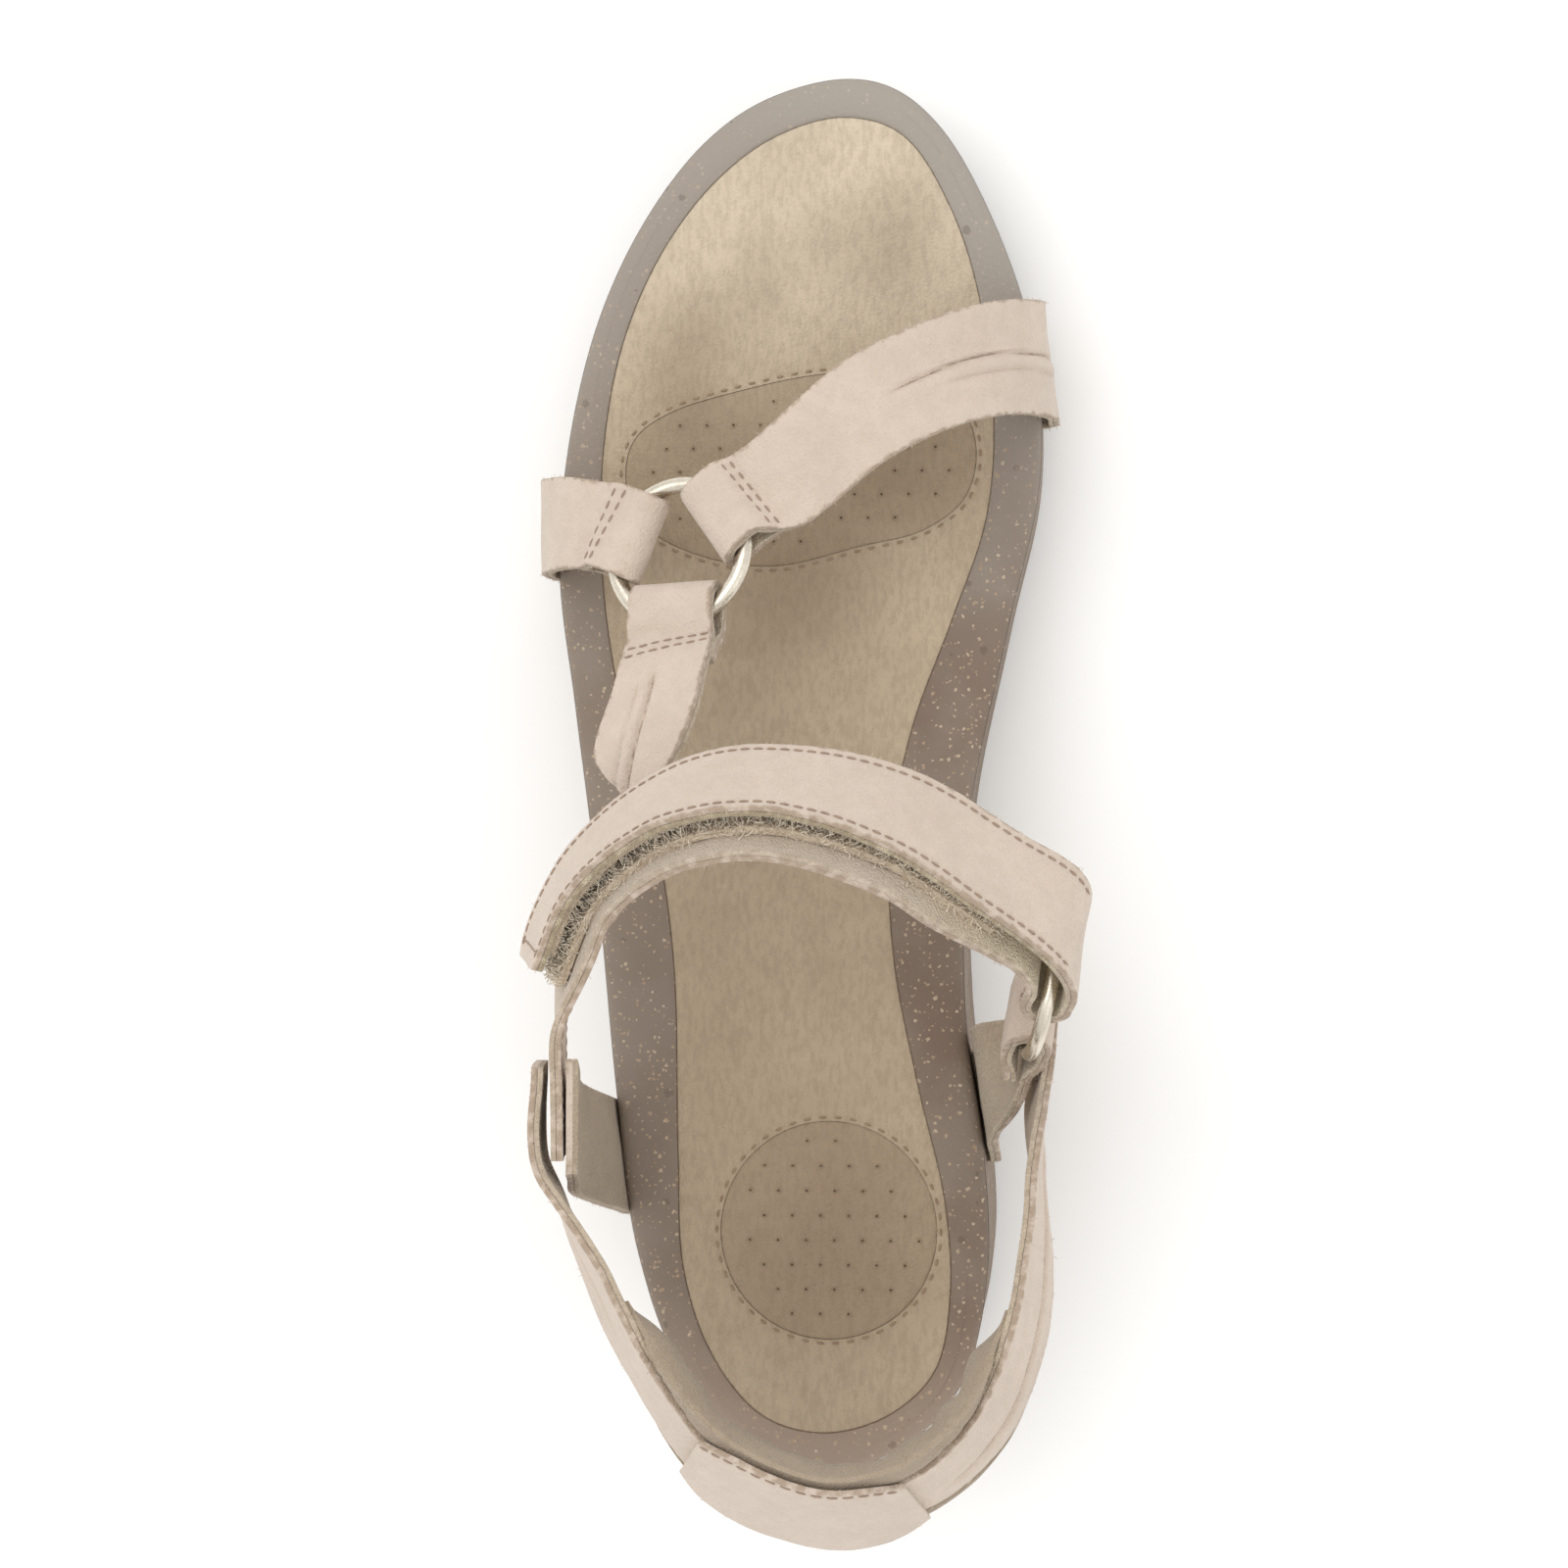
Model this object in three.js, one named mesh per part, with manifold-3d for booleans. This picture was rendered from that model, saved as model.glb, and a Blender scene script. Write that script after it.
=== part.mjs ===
// A left wedge sandal: a moulded two-layer wedge sole with an inlaid leather footbed, and an upper of
// lined leather straps that meet at two metal rings and close with a hook-and-loop flap.
// Millimetres. +X is the medial (inner) side, +Y points to the toe, +Z is up.
// The origin lies on the ground face of the outsole, midway between heel and toe.
import * as THREE from "three";
import { mergeVertices } from "three/addons/utils/BufferGeometryUtils.js";
import Module from "manifold-3d";

const wasm = await Module();
wasm.setup();

// ---------------------------------------------------------------- driving dimensions
const SOLE_LENGTH = 272;
const SOLE_BREADTH = 97;
const HEEL_HEIGHT = 61; // rim above the ground under the heel
const BALL_HEIGHT = 29; // rim above the ground under the ball of the foot
const TOE_RISE = 5; // how far the rim climbs from the ball to the toe
const TOE_SPRING = 8; // how far the outsole lifts off the ground at the toe

const OUTSOLE_THICKNESS = 4;
const FRAME_DEPTH = 13; // upper sole layer, rim to split line
const RECESS_DEPTH = 8.4; // pocket in the upper layer that holds the footbed
const BOARD_THICKNESS = 1.5;
const FOAM_THICKNESS = 4.4;
const COVER_THICKNESS = 1.2;
const PAD_SINK = 0.3; // the inlaid pads lie this much under the footbed cover
const HEEL_PAD_RADIUS = 0.211 * SOLE_BREADTH;
const CUSHION_RADIUS = HEEL_PAD_RADIUS - 2.5;
const SHANK_LENGTH = 104;
const SHANK_WIDTH = 13;
const SHANK_THICKNESS = 1.3;
const GROOVE_DEPTH = 1.5;
const GROOVE_WIDTH = 2.4;
const GROOVE_PITCH = 15;

const LEATHER = 1.2;
const LINING = 0.7;
const GAP = 0.3; // clearance kept between touching pieces
const STRAP = LEATHER + GAP + LINING; // a whole lined strap

const TOE_STRAP_WIDTH = 22.5;
const TAB_WIDTH = 18.5;
const CONNECTOR_WIDTH = 20;
const RING_LOOP_WIDTH = 17;
const INSTEP_WIDTH = 21.5;
const INSTEP_LOOP_WIDTH = 18;
const QUARTER_WIDTH = 22;
const QUARTER_LOOP_WIDTH = 16;
const HEEL_STRAP_WIDTH = 21;
const COLLAR_HEIGHT = 36;
const COLLAR_PAD_THICKNESS = 3.6;
const TAPE_WIDTH = 17;
const HOOK_TAPE = 1; // thickness of the hook tape
const LOOP_TAPE = 1.3; // thickness of the pile tape
const ANCHOR_DEPTH = 15; // how far a strap runs in between the sole layers

const RING_RADIUS = 13.5; // to the middle of the wire
const RING_WIRE = 1.6;
const SMALL_RING_RADIUS = 12;
const SMALL_RING_WIRE = 1.4;
const WIRE_CLEARANCE = 0.6;
const SEAM_PLAY = 1.3; // room between the heel strap's ends and the quarters they turn on

// The base size that every pattern point below is drawn at. grade() scales it to the driving dimensions.
const PATTERN = { length: 272, breadth: 97, heel: 61, ball: 29, rise: 5 };

const SOLE_PATTERN = [
  [5.5, 136], [-10, 132.3], [-22, 124.5], [-34, 110], [-44, 90], [-50.5, 64], [-52.3, 38], [-48.5, 11],
  [-42.5, -25], [-37, -65], [-32.5, -94], [-24.5, -116], [-11, -131.5], [4, -136], [19, -131], [30, -119],
  [34.8, -98], [34.2, -76], [30.4, -50], [30.6, -12], [38.2, 27], [44.4, 56], [43.4, 82], [36, 106],
  [25, 126], [15.5, 134],
];
const FOOTBED_PATTERN = [
  [5.5, 128], [-8, 124.5], [-20, 116], [-31, 102], [-39, 84], [-43, 62], [-43, 36], [-38.5, 10],
  [-31, -14], [-26.3, -40], [-24.4, -75], [-23, -98], [-17.5, -114], [-8, -125.2], [3.5, -128.3],
  [15.5, -125], [24.5, -116.5], [27.5, -102], [26.4, -84], [21, -62], [16, -38], [15, -15], [19, 7],
  [26.5, 28], [33.3, 48], [35, 66], [33, 88], [27, 109], [17, 124.5],
];
const FOREFOOT_PAD_PATTERN = [
  [-38.5, 58], [-36, 49], [-26, 42.5], [-9.5, 39.5], [9, 43.5], [21, 46.5], [29, 52.5], [31.5, 61],
  [29, 70], [19, 76.5], [2.5, 77.5], [-16.5, 74], [-30, 69.8], [-36.5, 65],
];
const HEEL_PAD_CENTRE = [4.5, -90];

// ---------------------------------------------------------------- small helpers
const V = (x, y, z) => new THREE.Vector3(x, y, z);
const UP = V(0, 0, 1);

function ease(t) {
  const c = Math.min(Math.max(t, 0), 1);
  return c * c * (3 - 2 * c);
}

// Height of the sole's rim at a share s of the length, from -0.5 at the heel to 0.5 at the toe.
function rimHeight(s, heel, ball, rise) {
  const fall = ease((s + 0.36) / 0.52);
  const toe = Math.max(0, (s - 0.25) / 0.25);
  return heel + (ball - heel) * fall + rise * toe * toe;
}

const rim = (y) => rimHeight(y / SOLE_LENGTH, HEEL_HEIGHT, BALL_HEIGHT, TOE_RISE);
const split = (y) => rim(y) - FRAME_DEPTH;
const recessFloor = (y) => rim(y) - RECESS_DEPTH;

function ground(y) {
  const toe = Math.max(0, (y / SOLE_LENGTH - 0.2) / 0.3);
  return TOE_SPRING * toe * toe;
}

// A pattern point, graded from the base size: heights are kept relative to the rim under them.
function grade([x, y, z]) {
  const s = y / PATTERN.length;
  const lift = z - rimHeight(s, PATTERN.heel, PATTERN.ball, PATTERN.rise);
  const girth = SOLE_BREADTH / PATTERN.breadth;
  return V(x * girth, s * SOLE_LENGTH, rim(s * SOLE_LENGTH) + lift * girth);
}

// A THREE geometry as a manifold solid, and back.
function toSolid(geometry) {
  const bare = geometry.index ? geometry.toNonIndexed() : geometry.clone();
  bare.deleteAttribute("normal");
  bare.deleteAttribute("uv");
  const merged = mergeVertices(bare, 1e-4);
  return new wasm.Manifold(
    new wasm.Mesh({
      numProp: 3,
      vertProperties: merged.attributes.position.array,
      triVerts: new Uint32Array(merged.index.array),
    }),
  );
}

function toGeometry(solid) {
  const mesh = solid.getMesh();
  const geometry = new THREE.BufferGeometry();
  geometry.setAttribute("position", new THREE.BufferAttribute(new Float32Array(mesh.vertProperties), 3));
  geometry.setIndex(new THREE.BufferAttribute(new Uint32Array(mesh.triVerts), 1));
  geometry.computeVertexNormals();
  return geometry;
}

// ---------------------------------------------------------------- sole outlines
function gradePlan([x, y]) {
  return V((x * SOLE_BREADTH) / PATTERN.breadth, (y * SOLE_LENGTH) / PATTERN.length, 0);
}

// A closed plan outline through graded pattern points, as points in order.
function outline(pattern, samples) {
  return new THREE.CatmullRomCurve3(pattern.map(gradePlan), true).getPoints(samples).slice(0, -1);
}

// The same outline moved outwards by a clearance (or inwards, if that is negative).
function grown(points, by) {
  return points.map((p, i) => {
    const before = points.at(i - 1);
    const after = points[(i + 1) % points.length];
    const along = after.clone().sub(before).normalize();
    return p.clone().add(V(along.y, -along.x, 0).multiplyScalar(by));
  });
}

function circle(patternCentre, radius, samples) {
  const centre = gradePlan(patternCentre);
  return Array.from({ length: samples }, (_, i) => {
    const turn = (2 * Math.PI * i) / samples;
    return V(centre.x + radius * Math.cos(turn), centre.y + radius * Math.sin(turn), 0);
  });
}

const soleOutline = outline(SOLE_PATTERN, 84);
const footbedOutline = outline(FOOTBED_PATTERN, 72);
const forefootPadOutline = outline(FOREFOOT_PAD_PATTERN, 32);
const heelPadOutline = circle(HEEL_PAD_CENTRE, HEEL_PAD_RADIUS, 32);
const cushionOutline = circle(HEEL_PAD_CENTRE, CUSHION_RADIUS, 28);

// A layer of the sole: the plan outline cut square, between two side-profile curves.
function slab(points, low, high, strips = 30) {
  const shape = new THREE.Shape(points.map((p) => new THREE.Vector2(p.x, p.y)));
  const reach = HEEL_HEIGHT + BALL_HEIGHT + TOE_RISE;
  const column = new THREE.ExtrudeGeometry(shape, { depth: 2 * reach, bevelEnabled: false });
  column.translate(0, 0, -reach / 2);

  const ys = points.map((p) => p.y);
  const from = Math.min(...ys) - 1;
  const step = (Math.max(...ys) + 1 - from) / strips;
  const stops = Array.from({ length: strips + 1 }, (_, i) => from + i * step);
  const side = stops.map((y) => new THREE.Vector2(y, low(y)));
  stops.reverse().forEach((y) => side.push(new THREE.Vector2(y, high(y))));
  const profile = new THREE.ExtrudeGeometry(new THREE.Shape(side), {
    depth: 2 * SOLE_BREADTH,
    bevelEnabled: false,
  });
  profile.rotateX(Math.PI / 2);
  profile.rotateZ(Math.PI / 2);
  profile.translate(-SOLE_BREADTH, 0, 0);
  return toSolid(column).intersect(toSolid(profile));
}

const raised = (profile, by) => (y) => profile(y) + by;

// ---------------------------------------------------------------- straps
const STATION_PITCH = 3.6; // about how far apart a strap's cross-sections are

// A strap is a list of stations: a point on its middle surface, a unit vector to the right of its run,
// seen from outside, and its width there.
function station(p, across, width) {
  return { p, a: across.clone().normalize(), w: width };
}

// Smooth stations through a few knots, by a curve along each edge of the strap.
function through(knots) {
  const edge = (sign) =>
    new THREE.CatmullRomCurve3(
      knots.map(({ p, a, w }) => p.clone().addScaledVector(a, (sign * w) / 2)),
      false,
      "centripetal",
    );
  const right = edge(1);
  const left = edge(-1);
  const spans = knots.length - 1;
  const stops = [];
  for (let i = 0; i < spans; i++) {
    const parts = Math.max(1, Math.round(knots[i].p.distanceTo(knots[i + 1].p) / STATION_PITCH));
    for (let j = 0; j < parts; j++) stops.push((i + j / parts) / spans);
  }
  return [...stops, 1].map((t) => {
    const r = right.getPoint(t);
    const l = left.getPoint(t);
    const across = r.clone().sub(l);
    return station(r.add(l).multiplyScalar(0.5), across, across.length());
  });
}

// Unit normals of a strap's stations, facing outwards.
function normals(stations) {
  return stations.map(({ a }, i) => {
    const before = stations[Math.max(i - 1, 0)].p;
    const after = stations[Math.min(i + 1, stations.length - 1)].p;
    return a.clone().cross(after.clone().sub(before)).normalize();
  });
}

function lengths(stations) {
  let run = 0;
  return stations.map(({ p }, i) => (run += i ? p.distanceTo(stations[i - 1].p) : 0));
}

// Stations moved along their normals, sideways and in width, each by a function of the run in mm.
function shifted(stations, { out = () => 0, side = () => 0, wider = () => 0 }) {
  const ns = normals(stations);
  const runs = lengths(stations);
  return stations.map(({ p, a, w }, i) =>
    station(
      p.clone().addScaledVector(ns[i], out(runs[i])).addScaledVector(a, side(runs[i])),
      a,
      w + wider(runs[i]),
    ),
  );
}

// The part of a strap between two runs, ending exactly there.
function cutRun(stations, from, to) {
  const runs = lengths(stations);
  const end = Math.min(to, runs.at(-1));
  const pick = (run) => {
    const i = Math.max(1, runs.findIndex((r) => r >= run));
    const t = (run - runs[i - 1]) / (runs[i] - runs[i - 1]);
    const [u, v] = [stations[i - 1], stations[i]];
    return station(u.p.clone().lerp(v.p, t), u.a.clone().lerp(v.a, t), u.w + (v.w - u.w) * t);
  };
  const inside = stations.filter((_, i) => runs[i] > from + 0.6 && runs[i] < end - 0.6);
  return [pick(from), ...inside, pick(end)];
}

// One layer of a strap, between two distances from its middle surface.
function layer(stations, low, high) {
  const ns = normals(stations);
  const corners = stations.flatMap(({ p, a, w }, k) =>
    [[1, low], [1, high], [-1, high], [-1, low]].map(([side, level]) =>
      p.clone().addScaledVector(a, (side * w) / 2).addScaledVector(ns[k], level),
    ),
  );
  const faces = [];
  const quad = (a, b, c, d) => faces.push(a, b, c, a, c, d);
  for (let i = 0; i < corners.length - 4; i += 4) {
    quad(i + 1, i + 5, i + 6, i + 2);
    quad(i, i + 3, i + 7, i + 4);
    quad(i, i + 4, i + 5, i + 1);
    quad(i + 3, i + 2, i + 6, i + 7);
  }
  const last = corners.length - 4;
  quad(0, 1, 2, 3);
  quad(last + 3, last + 2, last + 1, last);
  const geometry = new THREE.BufferGeometry().setFromPoints(corners);
  geometry.setIndex(faces);
  return toSolid(geometry);
}

const leatherOf = (stations) => layer(stations, STRAP / 2 - LEATHER, STRAP / 2);
const liningOf = (stations) => layer(stations, -STRAP / 2, LINING - STRAP / 2);

// ---------------------------------------------------------------- rings
function makeRing(centre, normal, radius, wire) {
  return { centre: grade(centre), normal: normal.clone().normalize(), radius, wire };
}

function ringSolid({ centre, normal, radius, wire }) {
  const torus = new THREE.TorusGeometry(radius, wire, 10, 44);
  torus.applyQuaternion(new THREE.Quaternion().setFromUnitVectors(UP, normal));
  torus.translate(centre.x, centre.y, centre.z);
  return toSolid(torus);
}

// The three forefoot straps meet at this ring. Its plane leans to the lateral side and rises to the rear.
const forefootRing = makeRing([-24.2, 40, 60], V(-0.3, 0.2, 0.93), RING_RADIUS, RING_WIRE);
const medialRing = makeRing([45.5, -42.5, 82], V(0.97, -0.2, -0.12), SMALL_RING_RADIUS, SMALL_RING_WIRE);
const FOLD_HEADING = V(0.2, 0.54, 0.81); // from the small ring's centre to the closure's fold
const FOLD_ACROSS = FOLD_HEADING.clone().cross(medialRing.normal).normalize();

// The first stations of a strap that is looped through a ring: from the place where the ring's wire is
// nearest its centre, straight out past the wire.
function ringKnots(ring, heading, width) {
  const e = heading.clone().projectOnPlane(ring.normal).normalize();
  const a = e.clone().cross(ring.normal);
  const nearest = Math.sqrt(ring.radius ** 2 - (width / 2) ** 2);
  const knot = (d) => station(ring.centre.clone().addScaledVector(e, d), a, width);
  return [knot(nearest), knot(ring.radius + ring.wire)];
}

// Half the distance between the two legs of a loop, at a run from the wire's nearest point.
function legSpread(ring, width, pinched) {
  const open = ring.wire + WIRE_CLEARANCE + STRAP / 2;
  const wireEnd = ring.radius + ring.wire - Math.sqrt(ring.radius ** 2 - (width / 2) ** 2);
  return (run) => open + (pinched - open) * ease((run - wireEnd) / 4);
}

// A strap that comes up one leg, turns round the wire and goes on along the other leg. Past the end of
// the first leg it settles onto the spine. The first leg can have a spine of its own.
function looped(spine, spread, tailLength, headLength = Infinity, tailSpine = spine) {
  const { p: centre, a, w } = spine[0];
  const e = spine[1].p.clone().sub(centre).normalize();
  const n = a.clone().cross(e).normalize();
  const radius = spread(0);
  const settled = (run) => spread(run) * (1 - ease((run - tailLength) / 16));
  const head = cutRun(shifted(spine, { out: settled }), 0, headLength);
  const tail = shifted(cutRun(tailSpine, 0, tailLength), { out: (run) => -spread(run) }).reverse();
  const turn = [];
  for (let angle = -75; angle <= 75; angle += 25) {
    const t = THREE.MathUtils.degToRad(angle);
    turn.push(
      station(
        centre
          .clone()
          .addScaledVector(e, -radius * Math.cos(t))
          .addScaledVector(n, radius * Math.sin(t)),
        a,
        w,
      ),
    );
  }
  return [...tail, ...turn, ...head];
}

// ---------------------------------------------------------------- strap ends in the sole
const SLOT_OFFSET = STRAP / 2 + 0.45; // from the upper layer's corner to the middle of a strap round it

// x of the sole's wall on one side at a height y along the sole.
function wallX(side, y) {
  let best = 0;
  soleOutline.forEach((p, i) => {
    const q = soleOutline[(i + 1) % soleOutline.length];
    if ((p.y - y) * (q.y - y) > 0 || p.y === q.y) return;
    const x = p.x + ((q.x - p.x) * (y - p.y)) / (q.y - p.y);
    if (side * x > side * best) best = x;
  });
  return best;
}

// A straight line laid against the wall over a stretch of the sole: the point at its middle and the
// horizontal direction out of the wall.
function wallLine(side, from, to) {
  const run = V(wallX(side, to) - wallX(side, from), to - from, 0).normalize();
  const out = V(run.y, -run.x, 0).multiplyScalar(side);
  const middle = V(wallX(side, from), from, 0).add(V(wallX(side, to), to, 0)).multiplyScalar(0.5);
  let proud = 0;
  for (let t = 0; t <= 1; t += 0.125) {
    const y = from + t * (to - from);
    proud = Math.max(proud, V(wallX(side, y), y, 0).sub(middle).dot(out));
  }
  return { point: middle.addScaledVector(out, proud), out };
}

// Knots that lead a strap down the wall, round the upper layer's lower corner and in between the layers.
// The rake is how far the strap leans to the toe for each mm of height.
function anchorKnots(side, patternY, width, rake) {
  const y = (patternY * SOLE_LENGTH) / PATTERN.length;
  const lean = rake * FRAME_DEPTH;
  const from = y - width / 2 + Math.min(lean, 0);
  const to = y + width / 2 + Math.max(lean, 0);
  const { point, out } = wallLine(side, from, to);
  point.addScaledVector(V(-out.y, out.x, 0), (y - point.y) / out.x);
  const slope = (split(to) - split(from)) / (to - from);
  let corner = split(y);
  for (let t = 0; t <= 1; t += 0.125) {
    const at = from + t * (to - from);
    corner = Math.min(corner, split(at) - slope * (at - y));
  }
  const across = V(out.y, -out.x, -slope * out.x);
  const at = (along, rise) => {
    const p = V(point.x, point.y, corner + rise).addScaledVector(out, along);
    p.z += Math.min(along, 0) * slope * out.y;
    return station(p.add(V(0, Math.max(rise, 0) * rake, 0)), across, width);
  };
  const knots = [at(SLOT_OFFSET, FRAME_DEPTH + 1), at(SLOT_OFFSET, 4), at(SLOT_OFFSET, 0)];
  [30, 60, 90].forEach((angle) => {
    const t = THREE.MathUtils.degToRad(angle);
    knots.push(at(SLOT_OFFSET * Math.cos(t), -SLOT_OFFSET * Math.sin(t)));
  });
  knots.push(at(-ANCHOR_DEPTH, -SLOT_OFFSET));
  return knots;
}

// The pocket that a strap end needs in the lower sole layer.
function anchorPocket(side, patternY, width, rake) {
  const knots = anchorKnots(side, patternY, width, rake)
    .slice(1)
    .map(({ p, a, w }) => station(p, a, w + 1.4));
  const last = knots.at(-1);
  const inwards = last.p.clone().sub(knots.at(-2).p).normalize();
  last.p.addScaledVector(inwards, 1);
  return layer(knots, -STRAP / 2 - 1, STRAP / 2 + 0.45);
}

const ANCHORS = {
  toe: [1, 79, TOE_STRAP_WIDTH, 0],
  tab: [-1, 46.5, TAB_WIDTH, 0],
  medialQuarter: [1, -67.5, QUARTER_WIDTH, 0.42],
  lateralQuarter: [-1, -77.5, QUARTER_WIDTH, 0.15],
};

// ---------------------------------------------------------------- sole pieces
function outsole() {
  let body = slab(grown(soleOutline, -0.6), ground, raised(ground, OUTSOLE_THICKNESS));
  const reach = SOLE_LENGTH / 2 - GROOVE_PITCH;
  for (let y = -reach; y < reach; y += GROOVE_PITCH) {
    if (Math.abs(y) < GROOVE_PITCH) continue; // a plain flat under the middle carries the resting face
    const cut = new THREE.BoxGeometry(2 * SOLE_BREADTH, GROOVE_WIDTH, 2 * GROOVE_DEPTH);
    cut.translate(0, y, ground(y));
    body = body.subtract(toSolid(cut));
  }
  return body;
}

function shankOutline(extra) {
  const half = SHANK_WIDTH / 2 + extra;
  const rear = -0.3 * SOLE_LENGTH - extra;
  const front = rear + SHANK_LENGTH + 2 * extra;
  return [V(-half, rear, 0), V(-half, front, 0), V(half, front, 0), V(half, rear, 0)];
}

function wedgeBase() {
  let body = slab(soleOutline, raised(ground, OUTSOLE_THICKNESS + GAP), raised(split, -GAP / 2));
  Object.values(ANCHORS).forEach((anchor) => {
    body = body.subtract(anchorPocket(...anchor));
  });
  const groove = slab(shankOutline(0.4), raised(split, -SHANK_THICKNESS - 2 * GAP), raised(split, 5));
  const pieces = body.subtract(groove).decompose();
  return pieces.sort((a, b) => b.volume() - a.volume())[0]; // without slivers beside the pockets
}

function shank() {
  return slab(shankOutline(0), raised(split, -SHANK_THICKNESS - GAP), raised(split, -GAP), 18);
}

function footbedFrame() {
  const body = slab(soleOutline, raised(split, GAP / 2), rim);
  return body.subtract(slab(grown(footbedOutline, GAP), recessFloor, raised(rim, 5)));
}

const BOARD_TOP = GAP + BOARD_THICKNESS;
const FOAM_TOP = BOARD_TOP + GAP + FOAM_THICKNESS;
const COVER_TOP = FOAM_TOP + GAP + COVER_THICKNESS;

function insoleBoard() {
  return slab(grown(footbedOutline, -1), raised(recessFloor, GAP), raised(recessFloor, BOARD_TOP));
}

function footbedFoam() {
  const body = slab(footbedOutline, raised(recessFloor, BOARD_TOP + GAP), raised(recessFloor, FOAM_TOP));
  const hole = slab(grown(cushionOutline, GAP), raised(rim, -20), raised(rim, 5), 10);
  return body.subtract(hole);
}

function heelCushion() {
  return slab(cushionOutline, raised(recessFloor, BOARD_TOP + GAP), raised(recessFloor, FOAM_TOP), 10);
}

function footbedCover() {
  let body = slab(footbedOutline, raised(recessFloor, FOAM_TOP + GAP), raised(recessFloor, COVER_TOP));
  [forefootPadOutline, heelPadOutline].forEach((pad) => {
    body = body.subtract(slab(grown(pad, GAP), raised(rim, -20), raised(rim, 5), 10));
  });
  return body;
}

function inlaidPad(points) {
  return slab(points, raised(recessFloor, FOAM_TOP + GAP), raised(recessFloor, COVER_TOP - PAD_SINK), 10);
}

// ---------------------------------------------------------------- forefoot straps
const PINCHED = STRAP / 2 + GAP / 2; // half the distance between two strap legs sewn together

function ringStrap(heading, tail, knots) {
  const spine = through([...ringKnots(forefootRing, heading, RING_LOOP_WIDTH), ...knots]);
  return looped(spine, legSpread(forefootRing, RING_LOOP_WIDTH, PINCHED), tail);
}

const knot = (point, across, width) => station(grade(point), across, width);

const toeStrap = ringStrap(V(0.81, 0.58, 0), 15, [
  knot([-4.5, 53, 63.6], V(0.56, -0.83, 0), (RING_LOOP_WIDTH + TOE_STRAP_WIDTH) / 2 - 1),
  knot([11.7, 66.3, 65], V(0.42, -0.9, 0.06), TOE_STRAP_WIDTH - 2),
  knot([25.5, 73.6, 61], V(0.2, -0.97, 0.1), TOE_STRAP_WIDTH - 1),
  knot([36.5, 77.6, 52], V(0.04, -0.99, 0.1), TOE_STRAP_WIDTH),
  knot([44, 79, 40.5], V(0, -1, 0), TOE_STRAP_WIDTH),
  ...anchorKnots(...ANCHORS.toe),
]);

const lateralTab = ringStrap(V(-0.93, 0.37, 0), 10, [
  knot([-45.8, 46.2, 51.5], V(0.1, 0.99, 0), TAB_WIDTH - 0.6),
  knot([-52.2, 46.6, 42], V(0, 1, 0), TAB_WIDTH),
  ...anchorKnots(...ANCHORS.tab),
]);

// ---------------------------------------------------------------- instep strap and its closure flap
// The spine runs midway between the two legs of the folded strap, from the small ring over the instep
// to the lateral seam.
const FOLD_EASE = 0.6; // slack round the wire, so that the tapes fit between the legs
const foldSpread = SMALL_RING_WIRE + WIRE_CLEARANCE + STRAP / 2 + FOLD_EASE;
const SEAM_UP = V(0.1, 0, 0.995).normalize();
const SEAM_FORWARD = V(0, 1, 0);
const SEAM_OUT = SEAM_FORWARD.clone().cross(SEAM_UP).negate();
const seamCentre = grade([-43, -64, 91]); // middle surface of the strap at the lateral seam

function seamKnot(forward, out, width) {
  const p = seamCentre.clone().addScaledVector(SEAM_FORWARD, forward).addScaledVector(SEAM_OUT, out);
  return station(p, SEAM_UP.clone().negate(), width);
}

const instepSpine = through(
  [
    ...ringKnots(medialRing, FOLD_HEADING, INSTEP_LOOP_WIDTH),
    knot([47.4, -30.2, 97.4], V(0.24, 0.74, -0.62), INSTEP_WIDTH - 1),
    knot([35.2, -21.6, 103.5], V(0.32, 0.58, -0.75), INSTEP_WIDTH),
    knot([19.5, -12.2, 108.5], V(0, 0.68, -0.73), INSTEP_WIDTH),
    knot([-1, -7.2, 111], V(0, 0.53, -0.85), INSTEP_WIDTH),
    knot([-16.3, -8.8, 108], V(0, 0.5, -0.87), INSTEP_WIDTH),
    knot([-28.6, -15, 101.5], V(-0.13, 0.38, -0.91), INSTEP_WIDTH),
    knot([-38, -24, 95], V(-0.21, 0.25, -0.94), INSTEP_WIDTH),
    knot([-43.8, -36, 91.5], V(-0.28, 0.1, -0.95), INSTEP_WIDTH),
    seamKnot(14, foldSpread, INSTEP_WIDTH - 1),
    seamKnot(3, foldSpread, INSTEP_WIDTH - 2),
    seamKnot(-9, foldSpread, INSTEP_WIDTH - 2),
  ],
);
const spineRun = lengths(instepSpine).at(-1);
const upperLeg = shifted(instepSpine, { out: () => foldSpread });
const HINGE_RUN = 14; // where the free flap begins, along the upper leg from the ring
const FLAP_SHARE = 0.8; // where it ends, as a share of the strap's run

// The lower leg is a little wider than the flap and shows behind it, except near the ring and the seam.
const swell = (run) => ease((run - 12) / 25) * ease((spineRun - 18 - run) / 20);
const lowerLeg = shifted(instepSpine, { side: (run) => -1.6 * swell(run), wider: (run) => 2.6 * swell(run) });
const instepStrap = looped(instepSpine, () => foldSpread, Infinity, HINGE_RUN - 0.5, lowerLeg);
const flap = cutRun(upperLeg, HINGE_RUN, FLAP_SHARE * lengths(upperLeg).at(-1));

function tape(stations, low, high) {
  const narrow = stations.map(({ p, a }) => station(p, a, TAPE_WIDTH));
  return layer(narrow, low, high);
}

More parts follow.
